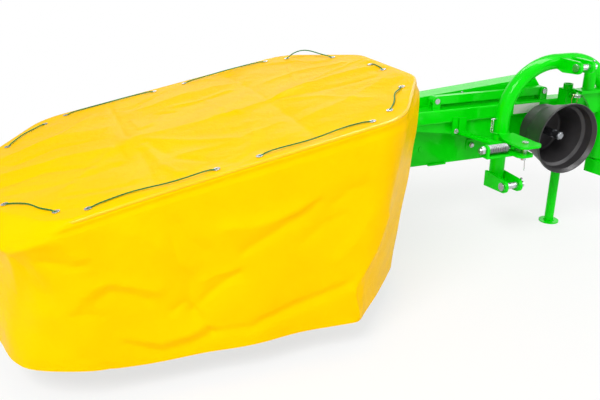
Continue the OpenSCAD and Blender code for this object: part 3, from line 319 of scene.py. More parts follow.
def finish_of(name):
    """The material of a finish, made when it is first asked for."""
    if name not in FINISHES:
        if name in FITTED_FINISHES:
            FINISHES[name] = FITTED_FINISHES[name]()
        else:
            given, options = PLAIN_FINISHES[name]
            FINISHES[name] = patchy_finish(*given, **options)[0]
    return FINISHES[name]


SLOT_FINISH = {
    "green_paint": "enamel", "yellow_sheet": "sheet", "zinc": "zinc", "machined_steel": "steel",
    "cast_steel": "iron", "black_plastic": "polythene", "belt_rubber": "rubber",
    "bush_bronze": "bronze", "cord_green": "cord",
}
# Nodes whose finish differs from their slot's: the stub is bare ground steel
NODE_FINISH = {"input_shaft": "steel"}


# Shapes

def activate(*pieces):
    """Selects only these pieces, in object mode, and makes the first one active."""
    if bpy.context.mode != "OBJECT":
        bpy.ops.object.mode_set(mode="OBJECT")
    bpy.ops.object.select_all(action="DESELECT")
    for piece in reversed(pieces):
        piece.select_set(True)
        bpy.context.view_layer.objects.active = piece


def add_object(operator, name, **settings):
    """Adds an object by its operator and gives it its name."""
    activate()
    operator(**settings)
    added = bpy.context.object
    added.name = name
    return added


def edit_all():
    """Opens the active piece for editing, with all of it selected."""
    bpy.ops.object.mode_set(mode="EDIT")
    bpy.ops.mesh.select_all(action="SELECT")


def apply_place():
    bpy.ops.object.transform_apply(location=True, rotation=True, scale=True)


def piece_from(name, points, faces, uvs):
    mesh = bpy.data.meshes.new(name)
    mesh.from_pydata([tuple(p) for p in points], [], faces)
    mesh.update()
    piece = bpy.data.objects.new(name, mesh)
    bpy.context.scene.collection.objects.link(piece)
    layer = mesh.uv_layers.new(name="UVMap")
    for loop in mesh.loops:
        layer.data[loop.index].uv = uvs[loop.vertex_index]
    return piece


def settle(piece, body, finish, smooth=60.0):
    """Puts the piece's place in its mesh, gives it its finish and hangs it on its body."""
    activate(piece)
    apply_place()
    piece.data.materials.clear()
    piece.data.materials.append(finish_of(finish))
    bpy.ops.object.shade_smooth_by_angle(angle=math.radians(smooth))
    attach(piece, body)


def modify(piece, kind, **settings):
    """Adds a modifier with its settings and applies it."""
    activate(piece)
    modifier = piece.modifiers.new(kind.lower(), kind)
    for key, value in settings.items():
        setattr(modifier, key, value)
    bpy.ops.object.modifier_apply(modifier=modifier.name)


def pick_faces(piece, test):
    """In edit mode, selects only the faces whose centre and normal pass the test."""
    bpy.ops.mesh.select_mode(type="FACE")
    bpy.ops.mesh.select_all(action="DESELECT")
    mesh = bmesh.from_edit_mesh(piece.data)
    for face in mesh.faces:
        face.select_set(test(face.calc_center_median(), face.normal))
    bmesh.update_edit_mesh(piece.data)


def twin(piece, name, place, size):
    """A copy of a finished shape with its own mesh, at a place in metres."""
    copy = piece.copy()
    copy.data = piece.data.copy()
    copy.name = name
    copy.data.name = name
    copy.location = place
    copy.scale = (size, size, size)
    bpy.context.scene.collection.objects.link(copy)
    return copy


def joined(pieces, name):
    activate(*pieces)
    bpy.ops.object.join()
    pieces[0].name = name
    pieces[0].data.name = name
    return pieces[0]


def tube(name, path, radius, sides, closed=False, swell=None):
    """A mesh tube along a path of points, with its length in metres along U."""
    count = len(path)
    points, faces, uvs = [], [], []
    up = None
    run = 0.0
    for i in range(count):
        ahead = path[(i + 1) % count] if closed or i + 1 < count else path[i]
        behind = path[i - 1] if closed or i > 0 else path[i]
        along = (ahead - behind).normalized()
        if up is None:
            up = Vector((0, 0, 1)) if abs(along.z) < 0.9 else Vector((1, 0, 0))
        side = along.cross(up).normalized()
        up = side.cross(along).normalized()
        if i:
            run += (path[i] - path[i - 1]).length
        r = radius * (swell(i) if swell else 1.0)
        for k in range(sides):
            a = math.tau * k / sides
            points.append(path[i] + r * (math.cos(a) * side + math.sin(a) * up))
            uvs.append((run, radius * a))
    rings = count if closed else count - 1
    for i in range(rings):
        for k in range(sides):
            here, ahead = i * sides, (i + 1) % count * sides
            turn = (k + 1) % sides
            faces.append((here + k, here + turn, ahead + turn, ahead + k))
    if not closed:
        faces.append(tuple(range(sides - 1, -1, -1)))
        faces.append(tuple((count - 1) * sides + k for k in range(sides)))
    return piece_from(name, points, faces, uvs)


def clamped(value):
    return max(0.0, min(1.0, value))


def hump(value, middle, width):
    """A smooth bump of height one round its middle."""
    return math.exp(-(((value - middle) / width) ** 2))


def read_off(table, place):
    """The value at a place in a table of (place, value) rows, straight from row to row."""
    for (x0, c0), (x1, c1) in zip(table[:-1], table[1:]):
        if place <= x1:
            return c0 + (c1 - c0) * (place - x0) / (x1 - x0)
    return table[-1][1]


# The cover's outline

def corner_points(corner, before, after, radius):
    """The arc that rounds a corner between the directions of two others."""
    u = (before - corner).normalized()
    v = (after - corner).normalized()
    half = math.acos(max(-1, min(1, u.dot(v)))) / 2
    centre = corner + (u + v).normalized() * radius / math.sin(half)
    start = corner + u * radius / math.tan(half)
    end = corner + v * radius / math.tan(half)
    a0 = math.atan2(start.y - centre.y, start.x - centre.x)
    a1 = math.atan2(end.y - centre.y, end.x - centre.x)
    turn = (a1 - a0 + math.pi) % math.tau - math.pi
    angles = [a0 + turn * i / CORNER_STEPS for i in range(CORNER_STEPS + 1)]
    return [centre + radius * Vector((math.cos(a), math.sin(a))) for a in angles]


# Points along each straight side of the outline and round each corner
SIDE_STEPS = [34, 40, 34, 124, 30, 36, 30, 124]
CORNER_STEPS = 10


def outline(corners, radii):
    """Points round a rounded outline: each corner's arc, then the straight side after it."""
    count = len(corners)
    arcs = [corner_points(corners[i], corners[i - 1], corners[(i + 1) % count], radii[i])
            for i in range(count)]
    points = []
    for i in range(count):
        points += arcs[i][:-1]
        start, end = arcs[i][-1], arcs[(i + 1) % count][0]
        points += [start.lerp(end, k / SIDE_STEPS[i]) for k in range(SIDE_STEPS[i])]
    return points


def top_corners(inset):
    """The top's eight corners, each side moved in by the inset."""
    far = HALF_L - 0.220 - 0.54 * inset
    straight = 0.225 - 0.3 * inset
    wide = HALF_W - inset
    return [Vector(p) for p in (
        (far, -wide), (HALF_L - inset, -straight), (HALF_L - inset, straight), (far, wide),
        (-far, wide), (-HALF_L + inset, straight), (-HALF_L + inset, -straight), (-far, -wide))]


def top_outline(inset):
    return outline(top_corners(inset), [EDGE_R] * 8)


HEM_CORNERS = [Vector(p) for p in (
    (HALF_L - 0.335, -HEM_HALF_W), (HALF_L - 0.032, -0.195), (HALF_L - 0.028, 0.205),
    (HALF_L - 0.260, HEM_HALF_W), (-HALF_L + 0.240, HEM_HALF_W), (-HALF_L - 0.002, 0.205),
    (-HALF_L - 0.008, -0.205), (-HALF_L + 0.143, -HEM_HALF_W + 0.007))]
HEM_R = [0.060, 0.130, 0.130, 0.130, 0.130, 0.130, 0.130, 0.250]

# How far the inner end stands out over the belt housing, by depth from the edge (0) to the hem (1)
BULGE = [(0.0, 0.007), (0.03, 0.019), (0.06, 0.025), (0.12, 0.028), (0.25, 0.032), (0.4, 0.028),
         (0.6, 0.018), (1.0, 0.006)]


def bulge(x, v):
    """The inner end's bulge at plan x from the middle and depth v."""
    return read_off(BULGE, v) * clamped((x - 0.430) / 0.250)


def top_height(x):
    return TOP_Z + (x - COVER_X) * TOP_FALL


def line_gap(x, y, a, b):
    """Distance of a place from the stretch of line between two points."""
    dx, dy = b[0] - a[0], b[1] - a[1]
    t = clamped(((x - a[0]) * dx + (y - a[1]) * dy) / (dx * dx + dy * dy))
    return math.hypot(x - a[0] - t * dx, y - a[1] - t * dy)


# Folds that packing pressed into the top: points in plan, rise and width in mm.
# The long fold runs down the middle and the two cross folds lie half a metre apart.
PACK_FOLDS = [
    ([(-990, -22), (-800, -12), (-594, -72), (-570, -30)], 5.5, 50),
    ([(-570, -30), (-350, -52), (-190, -66), (-72, -20)], 5, 45),
    ([(-72, -20), (9, 3), (103, 24), (197, 38), (335, 9)], 6.5, 50),
    ([(-72, -20), (-73, -295), (-75, -500)], -8.5, 50),
    ([(-72, -20), (-71, 237), (-91, 460)], -8, 48),
    ([(-584, 450), (-579, 244), (-579, 39), (-570, -30)], -3.2, 18),
    ([(-554, -163), (-559, -313), (-564, -500)], -3, 18),
    ([(-100, 330), (-300, 350), (-520, 300)], 4.5, 50),
    ([(-620, 180), (-800, 220), (-960, 160)], 4, 50),
    ([(-620, -240), (-800, -260), (-950, -220)], -4, 50),
    ([(-20, -300), (120, -270), (300, -170)], 4, 45),
    ([(-480, -300), (-300, -330), (-120, -280)], 4, 45),
    ([(0, 220), (140, 250), (300, 180)], 4, 40),
]
# Wrinkles that fan out from where the folds cross
WRINKLES = [
    ([(-530, -120), (-521, -350), (-488, -451)], 3, 17),
    ([(-530, -100), (-471, -325), (-400, -410)], -3.2, 18),
    ([(-520, -80), (-390, -220), (-290, -300)], 2.8, 20),
    ([(-620, -60), (-607, -206), (-638, -237)], -2.6, 16),
    ([(-640, -80), (-702, -173), (-788, -300)], 3, 20),
    ([(-986, -124), (-853, -90), (-704, -173)], -3, 18),
    ([(-805, -377), (-702, -420), (-622, -443)], -2.4, 16),
    ([(-532, 191), (-521, 54), (-459, 110)], 3.4, 14),
    ([(-459, 110), (-430, 200), (-380, 170)], -3, 13),
    ([(-509, 349), (-458, 387), (-376, 448)], -2.8, 15),
    ([(-251, 199), (-232, 33), (-197, -94)], 2.6, 13),
    ([(-145, 249), (-269, 220), (-360, 240)], 3.4, 14),
    ([(-72, -20), (-159, -53), (-231, -65), (-323, -13)], 2.4, 12),
    ([(-72, -20), (45, 8), (190, 91), (371, 149)], 3.4, 14),
    ([(137, 355), (85, 146), (58, 43)], 2.6, 12),
    ([(-40, -60), (73, -150), (168, -311)], 3, 19),
    ([(-50, -30), (90, -80), (290, -120)], -3, 20),
    ([(200, -420), (260, -300), (340, -220)], -2.8, 20),
    ([(-300, -460), (-220, -330), (-200, -200)], 2.6, 22),
    ([(-900, 180), (-780, 240), (-660, 400)], 2.6, 20),
    ([(-940, 50), (-820, 100), (-700, 80)], -2.6, 18),
    ([(240, 300), (200, 400), (100, 470)], 2.4, 16),
]


def edge_drop(x, y):
    """How much further the edge hangs down round the near corner of the outer end."""
    if y > 0:
        return 0.0
    slope = clamped((-0.50 - x) / 0.34)
    return 0.009 * slope * slope + 0.020 * hump(x, -0.945, 0.055) * min(1.0, -y / 0.3)


def fold_height(x, y, folds, sharp):
    """Height of a table of folds at a place; sharp is the share of a pinched ridge over a round one."""
    height = 0.0
    for line, rise, width in folds:
        off = min(line_gap(x / MM, y / MM, a, b) for a, b in zip(line[:-1], line[1:]))
        if off < width * 4:
            height += rise * (sharp * math.exp(-off / (0.75 * width)) + (1 - sharp) * hump(off, 0, width))
    return height * MM


def sag(x, y):
    """Height that creases and slackness give the top at a place in plan."""
    height = 1.25 * (fold_height(x, y, PACK_FOLDS, 0.8) + fold_height(x, y, WRINKLES, 0.45))
    wide = noise.noise(Vector((x * 2.6, y * 3.1, 1.3)))
    middle = noise.noise(Vector((x * 6.0 + 5, y * 7.0, 2.7)))
    fine = noise.noise(Vector((x * 14.0, y * 16.0, 4.1)))
    return height + 0.010 * wide + 0.0034 * middle + 0.0005 * fine


# Depth of the crease under the edge round the near outer corner, by the edge's x
CORNER_CREASE = [(-1.063, 0.0), (-1.035, 0.014), (-1.000, 0.034), (-0.915, 0.088), (-0.855, 0.046),
                 (-0.790, 0.0)]
# How far the sheet leans out over the crease for each metre down, and the height it takes to fall back
APRON_LEAN = 0.60
APRON_RETURN = 0.20


def crease_depth(x, y):
    if y > 0 or not CORNER_CREASE[0][0] < x < CORNER_CREASE[-1][0]:
        return 0.0
    return read_off(CORNER_CREASE, x)


def corner_apron(x, y, depth):
    """How far the sheet leans out over the near outer corner, down to its crease and back under it."""
    crease = crease_depth(x, y)
    if depth < crease:
        return APRON_LEAN * depth
    return APRON_LEAN * crease * max(0.0, 1 - (depth - crease) / APRON_RETURN) ** 1.5


def eyelet_calm(q):
    """Nought where an eyelet holds the sheet flat on the hoop, rising to one 60 mm away."""
    gap = min(math.hypot(q.x - x, q.y - y) for x, y in EYELETS)
    return clamped((gap - 0.014) / 0.046)


def skirt_push(u, v, p):
    """How far the skirt stands out of its ruled face; u runs round it, v from the edge to the hem."""
    wave = 0.6 * math.sin(math.tau * 7 * u + 0.6) + 0.35 * math.sin(math.tau * 12 * u + 1.4 + 1.2 * v)
    wave += 0.55 * noise.noise(Vector((p.x * 3.2, p.y * 3.2, v * 1.6)))
    push = bpy.context.scene.cover_settings.sway * wave * v ** 1.2
    creep = noise.noise(Vector((p.x * 5.0 - p.y * 2.0, p.y * 5.0, v * 5.0 + 3)))
    small = noise.noise(Vector((p.x * 11.0, p.y * 11.0, v * 9.0 + 8)))
    push += (0.0045 * creep + 0.0007 * small) * min(1.0, v * 5)
    # Shallow gutter under the rolled edge
    return push - 0.0040 * hump(v, 0.022, 0.014)


# Folds in the near side: points as x and z, rise and width in mm. A valley has a negative rise.
SIDE_FOLDS = [
    ([(30, 257), (-24, 243), (-90, 226), (-165, 212), (-229, 196), (-278, 185)], -12.5, 20),
    ([(-297, 174), (-378, 179), (-433, 178)], -7, 12),
    ([(52, 235), (61, 126)], 11, 12),
    ([(49, 244), (79, 274), (103, 325), (135, 388), (155, 474)], 8, 16),
    ([(-99, 583), (-174, 551), (-248, 531), (-315, 525), (-381, 532)], 8, 26),
    ([(-94, 572), (-145, 532), (-192, 515), (-261, 478), (-330, 441)], -8, 22),
    ([(-345, 374), (-386, 357), (-432, 325), (-460, 300)], -8, 16),
    ([(-358, 389), (-412, 387), (-453, 370)], 5, 16),
    ([(-832, 601), (-879, 576), (-917, 561), (-943, 553)], 15, 28),
    ([(-975, 601), (-957, 577), (-943, 553)], 12, 24),
    ([(-943, 553), (-965, 523), (-986, 505)], 9, 20),
    ([(-858, 575), (-824, 551), (-784, 506)], 7, 16),
    ([(-871, 500), (-835, 491), (-814, 475), (-783, 483)], -6, 12),
    ([(-831, 328), (-798, 374), (-764, 404), (-719, 414), (-661, 395), (-588, 363)], 8, 22),
    ([(-804, 321), (-776, 359), (-726, 387), (-679, 372), (-624, 336)], -7, 22),
    ([(-835, 324), (-804, 326), (-750, 309)], -5, 16),
    ([(-928, 533), (-913, 463), (-898, 405), (-883, 349), (-873, 273), (-887, 191)], -7, 20),
    ([(-541, 517), (-528, 453), (-498, 379), (-497, 308), (-490, 276)], -7, 24),
    ([(-551, 284), (-519, 303), (-490, 271)], -7, 14),
    ([(-494, 272), (-464, 239), (-444, 191)], -7, 14),
    ([(-698, 200), (-594, 147), (-504, 157), (-440, 177)], -8, 20),
    ([(-692, 214), (-592, 179), (-503, 189), (-457, 210)], 6, 24),
    ([(-808, 181), (-782, 153), (-751, 124)], -5, 14),
    ([(-40, 553), (9, 595), (59, 604)], -4.5, 20),
    ([(-134, 438), (-72, 491), (-5, 511)], -4, 22),
    ([(-447, 465), (-488, 511), (-518, 571)], -5, 22),
    ([(-640, 560), (-560, 500), (-500, 420)], 5, 34),
    ([(-20, 360), (40, 420), (75, 500)], 5, 26),
]
SIDE_FOLD_SCALE = 1.1

# The sheet's middle lies this far under the hoop's top plane, and its rolled edge falls this much further
SHEET_LIE = 0.001
ROLL_FALL = 0.014

# The rings over the top as shares of the way out, and the rounded edge's as shares of its quarter turn
TOP_RINGS = [k / 60 for k in range(52)] + [0.875, 0.895, 0.915, 0.93, 0.945, 0.96, 0.972, 0.986, 1.0]
ROLL_RINGS = (0.25, 0.55, 0.85, 1.0)
SKIRT_ROWS = 64
# Half the length of the line in the top's middle that the rings start from
MIDDLE_LINE = 0.42


class MOWER_OT_sew_cover(bpy.types.Operator):
    """Sews the yellow cover: a sloped top with creases, a rounded edge and a hanging skirt with folds"""
    bl_idname = "mower.sew_cover"
    bl_label = "Sew the cover"

    def top_point(self, p, share):
        line = Vector((max(-MIDDLE_LINE, min(MIDDLE_LINE, p.x)), 0.0))
        q = line.lerp(p, share)
        x = q.x + COVER_X
        calm = min(1.0, 0.15 + (1.0 - share) / 0.10) * eyelet_calm(q)
        return (x, q.y, top_height(x) + sag(x, q.y) * calm - SHEET_LIE), (x, q.y)

    def roll_point(self, inner, outer, turn):
        a = turn * math.pi / 2
        p = inner.lerp(outer, math.sin(a))
        x = p.x + COVER_X
        drop = edge_drop(x, p.y) * turn
        fall = ROLL_FALL * (1 - math.cos(a)) + SHEET_LIE + drop
        z = top_height(x) - fall
        p = p + p.normalized() * (0.5 * drop + corner_apron(x, p.y, fall))
        x = p.x + bulge(p.x, 0.0) * turn + COVER_X
        return (x, p.y, z), (x, p.y + 0.01 * turn)

    def skirt_point(self, edge, hem, corner, u, v):
        """A point of the skirt, u round it and v down it; corner is its near inner corner there."""
        p = edge.lerp(hem, v)
        x = p.x + COVER_X
        edge_x = edge.x + COVER_X
        drop = edge_drop(edge_x, edge.y)
        # The near hem lifts and stands out a little towards the outer end
        lift = 0.020 * hump(x, -0.86, 0.13) if p.y < -0.3 else 0.0
        z = (top_height(x) - ROLL_FALL - SHEET_LIE - drop) * (1 - v) + (HEM_Z + lift) * v
        push = skirt_push(u, v, p) + 0.5 * drop * (1 - v)
        push += corner_apron(edge_x, edge.y, top_height(edge_x) - z)
        if p.y < -0.2:
            push += 0.014 * v * v * hump(x, -0.985, 0.05)
        if p.y < -HEM_HALF_W * 0.62:
            push += SIDE_FOLD_SCALE * fold_height(x, z, SIDE_FOLDS, 0.6) * min(1.0, v * 12)
        q = p + p.normalized() * push
        q.x += bulge(p.x, v)
        # The near inner corner is tucked in above its hem
        q.x -= 0.026 * hump(v, 0.78, 0.15) * hump((p - corner).length, 0, 0.11)
        return (q.x + COVER_X, q.y, z), (u * 4.4, 1.0 - z)

    def execute(self, context):
        rim = top_outline(0.004)
        edge = top_outline(0.0)
        hem = outline(HEM_CORNERS, HEM_R)
        count = len(rim)
        placed = [self.top_point(p, share) for share in TOP_RINGS for p in rim]
        placed += [self.roll_point(rim[i], edge[i], turn) for turn in ROLL_RINGS for i in range(count)]
        for row in range(1, SKIRT_ROWS + 1):
            v = (row / SKIRT_ROWS) ** 1.15
            corner = top_corners(0.0)[0].lerp(HEM_CORNERS[0], v)
            placed += [self.skirt_point(edge[i], hem[i], corner, i / count, v) for i in range(count)]
        faces = []
        for row in range(len(placed) // count - 1):
            for i in range(count):
                a = row * count + i
                b = row * count + (i + 1) % count
                faces.append((a, a + count, b + count, b))
        cover = piece_from("cover_sheet", [p for p, uv in placed], faces, [uv for p, uv in placed])
        activate(cover)
        # The first ring lies flat on the middle line, where both sides close on each other
        edit_all()
        bpy.ops.mesh.remove_doubles(threshold=0.00002)
        bpy.ops.mesh.normals_make_consistent(inside=False)
        self.cut_notch(cover)
        bpy.ops.object.mode_set(mode="OBJECT")
        area = sum(polygon.area for polygon in cover.data.polygons)
        thickness = context.scene.cover_settings.sheet
        modify(cover, "SOLIDIFY", thickness=thickness, offset=-1.0, use_rim_only=True)
        settle(cover, "cutting_unit", "sheet")
        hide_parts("cover")
        context.scene["cover_area"] = area
        return {"FINISHED"}

    def cut_notch(self, cover):
        """Cuts the opening for the beam and the belt housing in the inner end."""
        across, up = (0, 1, 0), (0, 0, 1)
        for point, normal in (((0, NOTCH_Y[0], 0), across), ((0, NOTCH_Y[1], 0), across),
                              ((0, 0, NOTCH_Z), up)):
            pick_faces(cover, lambda c, n: c.x > 0.3 and c.z < 0.79)
            bpy.ops.mesh.bisect(plane_co=point, plane_no=normal)
        pick_faces(cover, lambda c, n: c.x > 0.3 and NOTCH_Y[0] < c.y < NOTCH_Y[1] and c.z < NOTCH_Z)
        bpy.ops.mesh.delete(type="FACE")


def eyelet_place(i):
    x, y = EYELETS[i % len(EYELETS)]
    return Vector((x + COVER_X, y, top_height(x + COVER_X)))


# The cord's radius, its height over the sheet, its depth under it, and how long it takes to pass through
CORD_R = 0.0022
CORD_OVER = 0.0048
CORD_UNDER = -0.0085
CORD_PASS = 0.011
# The span that springs up from its plait, highest towards its far eyelet
SPRUNG_SPAN = 8


class MOWER_OT_lace_cord(bpy.types.Operator):
    """Laces the green cord through the eyelets, over the sheet between every second pair"""
    bl_idname = "mower.lace_cord"
    bl_label = "Lace the cord"

    def execute(self, context):
        path = []
        for i in range(len(EYELETS)):
            a, b = eyelet_place(i), eyelet_place(i + 1)
            along = b - a
            side = Vector((-along.y, along.x, 0)).normalized()
            length = along.length
            steps = max(8, round(length / 0.018))
            for k in range(steps):
                t = k / steps
                p = a.lerp(b, t)
                rise = min(1.0, min(t, 1 - t) * length / CORD_PASS)
                if i % 2 == 0:
                    bow = math.sin(math.pi * t)
                    wander = 0.008 * math.sin(math.tau * t + i) * bow
                    height = CORD_OVER * rise + 0.0045 * bow * (0.6 + 0.4 * math.sin(7 * t + i))
                    if i == SPRUNG_SPAN:
                        height += 0.026 * math.sin(math.pi * t ** 1.5) ** 1.2
                    p += side * wander + Vector((0, 0, height))
                else:
                    p += Vector((0, 0, CORD_UNDER * rise))
                path.append(p)
        count = len(path)
        eased = [(path[k - 1] + 2 * path[k] + path[(k + 1) % count]) / 4 for k in range(count)]
        cord = tube("lacing_cord_plaited", eased, CORD_R, 12, closed=True)
        settle(cord, "cutting_unit", "cord")
        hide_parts("lacing_cord")
        return {"FINISHED"}


# The welt's radius
WELT_R = 0.0050


class MOWER_OT_weld_edge(bpy.types.Operator):
    """Lays the welded double edge of the cover round the outside of its top"""
    bl_idname = "mower.weld_edge"
    bl_label = "Weld the cover's edge"

    def execute(self, context):
        rim = top_outline(0.0035)
        path, swell = [], []
        for p in rim:
            x = p.x + COVER_X
            drop = edge_drop(x, p.y)
            crease = crease_depth(x, p.y)
            q = p + p.normalized() * 0.45 * drop
            low = WELT_R + 0.8 * drop + 0.05 * crease
            path.append(Vector((q.x + 0.5 * bulge(p.x, 0.0) + COVER_X, q.y, top_height(x) - low)))
            # The welt fades where the sheet hangs over the near outer corner
            swell.append(max(0.3, 1 - 9.5 * crease))
        bead = tube("cover_edge_welt", path, WELT_R, 10, closed=True, swell=lambda i: swell[i])
        settle(bead, "cutting_unit", "tape")
        return {"FINISHED"}


# The release spring's wire radius, its turns, how many of them close each end, and those turns' length
SPRING_WIRE = 0.0030
SPRING_TURNS = 11
SPRING_CLOSED = 1.1
SPRING_CLOSED_LENGTH = 0.0072


class MOWER_OT_wind_spring(bpy.types.Operator):
    """Winds the release's compression spring from round wire, with its closed ends"""
    bl_idname = "mower.wind_spring"
    bl_label = "Wind the spring"

    def execute(self, context):
        low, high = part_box("release_spring")
        centre_y = (low[1] + high[1]) / 2
        centre_z = (low[2] + high[2]) / 2
        radius = (high[1] - low[1]) / 2 - SPRING_WIRE
        lead = high[0] - low[0] - 2 * SPRING_WIRE
        end = SPRING_CLOSED / SPRING_TURNS
        shape = [(0.0, 0.0), (end, SPRING_CLOSED_LENGTH), (1 - end, lead - SPRING_CLOSED_LENGTH), (1.0, lead)]
        steps = SPRING_TURNS * 24
        path = []
        for i in range(steps + 1):
            k = i / steps
            a = math.tau * SPRING_TURNS * k
            x = low[0] + SPRING_WIRE + read_off(shape, k)
            path.append(Vector((x, centre_y + radius * math.cos(a), centre_z + radius * math.sin(a))))
        spring = tube("release_spring_wound", path, SPRING_WIRE, 10)
        settle(spring, "hitch_frame", "steel")
        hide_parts("release_spring")
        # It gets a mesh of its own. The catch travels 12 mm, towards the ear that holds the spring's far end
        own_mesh(spring)
        return {"FINISHED"}


class MOWER_OT_sleeve_spring(bpy.types.Operator):
    """Slips the dark guide sleeve between the catch rod and its spring"""
    bl_idname = "mower.sleeve_spring"
    bl_label = "Sleeve the spring"

    def execute(self, context):
        low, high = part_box("release_spring")
        # It ends short of the catch's collar by the catch's travel
        length = high[0] - low[0] - 0.015
        middle = (low[0] + 0.0005 + length / 2, (low[1] + high[1]) / 2, (low[2] + high[2]) / 2)
        sleeve = add_object(bpy.ops.mesh.primitive_cylinder_add, "spring_guide_sleeve", vertices=40,
                            radius=0.0132, depth=length, end_fill_type="NOTHING", location=middle,
                            rotation=(0, math.radians(90), 0))
        modify(sleeve, "SOLIDIFY", thickness=0.0022, offset=-1.0)
        settle(sleeve, "hitch_frame", "polythene", smooth=40.0)
        return {"FINISHED"}


class MOWER_OT_paint_frame(bpy.types.Operator):
    """Gives every CAD piece the finish of its material slot"""
    bl_idname = "mower.paint_frame"
    bl_label = "Paint the frame"

    def execute(self, context):
        slots = {entry["node"]: entry["material_slot"] for entry in frame["record"]["subparts"]}
        for name, node in frame["nodes"].items():
            finish = finish_of(NODE_FINISH.get(name, SLOT_FINISH[slots[name]]))
            if node.data.materials:
                for index in range(len(node.data.materials)):
                    node.material_slots[index].material = finish
            else:
                node.data.materials.append(finish)
        return {"FINISHED"}


# The label's middle in X and Z on the beam's front face, and its length, thickness and height
LABEL_X = 1.207
LABEL_Z = 0.573
LABEL_SIZE = (0.138, 0.0004, 0.042)


class MOWER_OT_stick_label(bpy.types.Operator):
    """Sticks the blank label on the beam's front face"""
    bl_idname = "mower.stick_label"
    bl_label = "Stick the label"

    def execute(self, context):
        beam_low, beam_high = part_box("main_beam")
        middle = (LABEL_X, beam_low[1] - LABEL_SIZE[1] / 2, LABEL_Z)
        label = add_object(bpy.ops.mesh.primitive_cube_add, "blank_label", size=1.0, location=middle)
        label.scale = LABEL_SIZE
        apply_place()
        modify(label, "BEVEL", width=0.00015, segments=2)
        settle(label, "main_frame", "label", smooth=30.0)
        return {"FINISHED"}


# Hex bolts: name, middle of the seat in metres, size against a 17 mm head, and the body each is on
BOLTS = [
    ("bracket_bolt", (0.979, 0.2208, 0.406), 1.0, "main_frame"),
    ("strap_bolt", (0.834, 0.1388, 0.508), 0.9, "main_frame"),
    ("housing_bolt", (0.912, 0.2348, 0.650), 0.7, "main_frame"),
]


class MOWER_OT_fit_bolts(bpy.types.Operator):
    """Fits the zinc hex bolts with their washers on the bracket, the strap and the belt housing"""
    bl_idname = "mower.fit_bolts"
    bl_label = "Fit the bolts"

    def disc(self, sides, radius, depth, y, insets):
        """A disc across Y whose near face is stepped by insets, each a width and a depth."""
        disc = add_object(bpy.ops.mesh.primitive_cylinder_add, "disc", vertices=sides, radius=radius,
                          depth=depth, location=(0, y, 0), rotation=(math.radians(90), 0, 0))
        apply_place()
        edit_all()
        pick_faces(disc, lambda centre, normal: normal.y < -0.9)
        for width, rise in insets:
            bpy.ops.mesh.inset(thickness=width, depth=rise)
        return disc

    def execute(self, context):
        head = self.disc(6, 0.0098, 0.0064, -0.0048, [(0.0013, 0.0007), (0.0012, -0.0003)])
        washer = self.disc(36, 0.0122, 0.0018, -0.0008, [(0.0006, 0.0003)])
        bolt = joined([head, washer], "hex_bolt")
        for name, place, size, body in BOLTS:
            settle(twin(bolt, name, place, size), body, "zinc", smooth=30.0)
        bpy.data.objects.remove(bolt)
        return {"FINISHED"}


# Weld beads round tubes: name, middle, radius in metres and body
RING_WELDS = [
    ("upper_lug_weld", (0.992, 0.038, 0.5155), 0.0330, "hitch_frame"),
    ("lower_lug_weld", (0.992, 0.038, 0.4645), 0.0330, "hitch_frame"),
    ("brace_strut_weld", (1.433, 0.038, 0.6685), 0.0265, "hitch_frame"),
    ("stand_foot_weld", (1.403, 0.129, 0.0065), 0.0215, "stand"),
]
# Straight weld beads: name, start, length along X in metres and body
LINE_WELDS = [
    ("stay_ear_weld_in", (0.733, 0.1705, 0.6035), 0.028, "main_frame"),
    ("stay_ear_weld_out", (1.293, 0.1705, 0.6035), 0.028, "main_frame"),
]
# One drop's radius, its form and the step to the next drop
DROP_R = 0.0036
DROP_FORM = (1.1, 1.1, 0.75)
DROP_STEP = 0.0042


class MOWER_OT_lay_welds(bpy.types.Operator):
    """Lays the painted weld beads round the tubes and along the ears, drop beside drop"""
    bl_idname = "mower.lay_welds"
    bl_label = "Lay the welds"

    def drop(self, name, place):
        """The first drop of a weld, selected in edit mode."""
        drop = add_object(bpy.ops.mesh.primitive_uv_sphere_add, name, segments=10, ring_count=6,
                          radius=DROP_R, location=place)
        apply_place()
        edit_all()
        bpy.ops.transform.resize(value=DROP_FORM, center_override=place)
        return drop

    def execute(self, context):
        for name, middle, radius, body in RING_WELDS:
            count = round(math.tau * radius / DROP_STEP)
            bead = self.drop(name, (middle[0] + radius, middle[1], middle[2]))
            bpy.ops.mesh.spin(steps=count - 1, dupli=True, angle=math.tau * (count - 1) / count,
                              center=middle, axis=(0, 0, 1))
            settle(bead, body, "enamel")
        for name, start, length, body in LINE_WELDS:
            bead = self.drop(name, start)
            modify(bead, "ARRAY", count=round(length / DROP_STEP), use_relative_offset=False,
                   use_constant_offset=True, constant_offset_displace=(DROP_STEP, 0, 0))
            settle(bead, body, "enamel")
        return {"FINISHED"}


# Wire rings: name, middle, turn in degrees, radius, wire radius and how much of its width is left
LOCK_RING = ("lock_wire_ring", (1.403, 0.078, 0.6125), (86, 0, 14), 0.0235, 0.0015, 0.93)
CLIP_LOOP = ("clip_loop", (0.985, -0.1475, 0.4085), (90, 0, 35), 0.0055, 0.0014, 0.8)


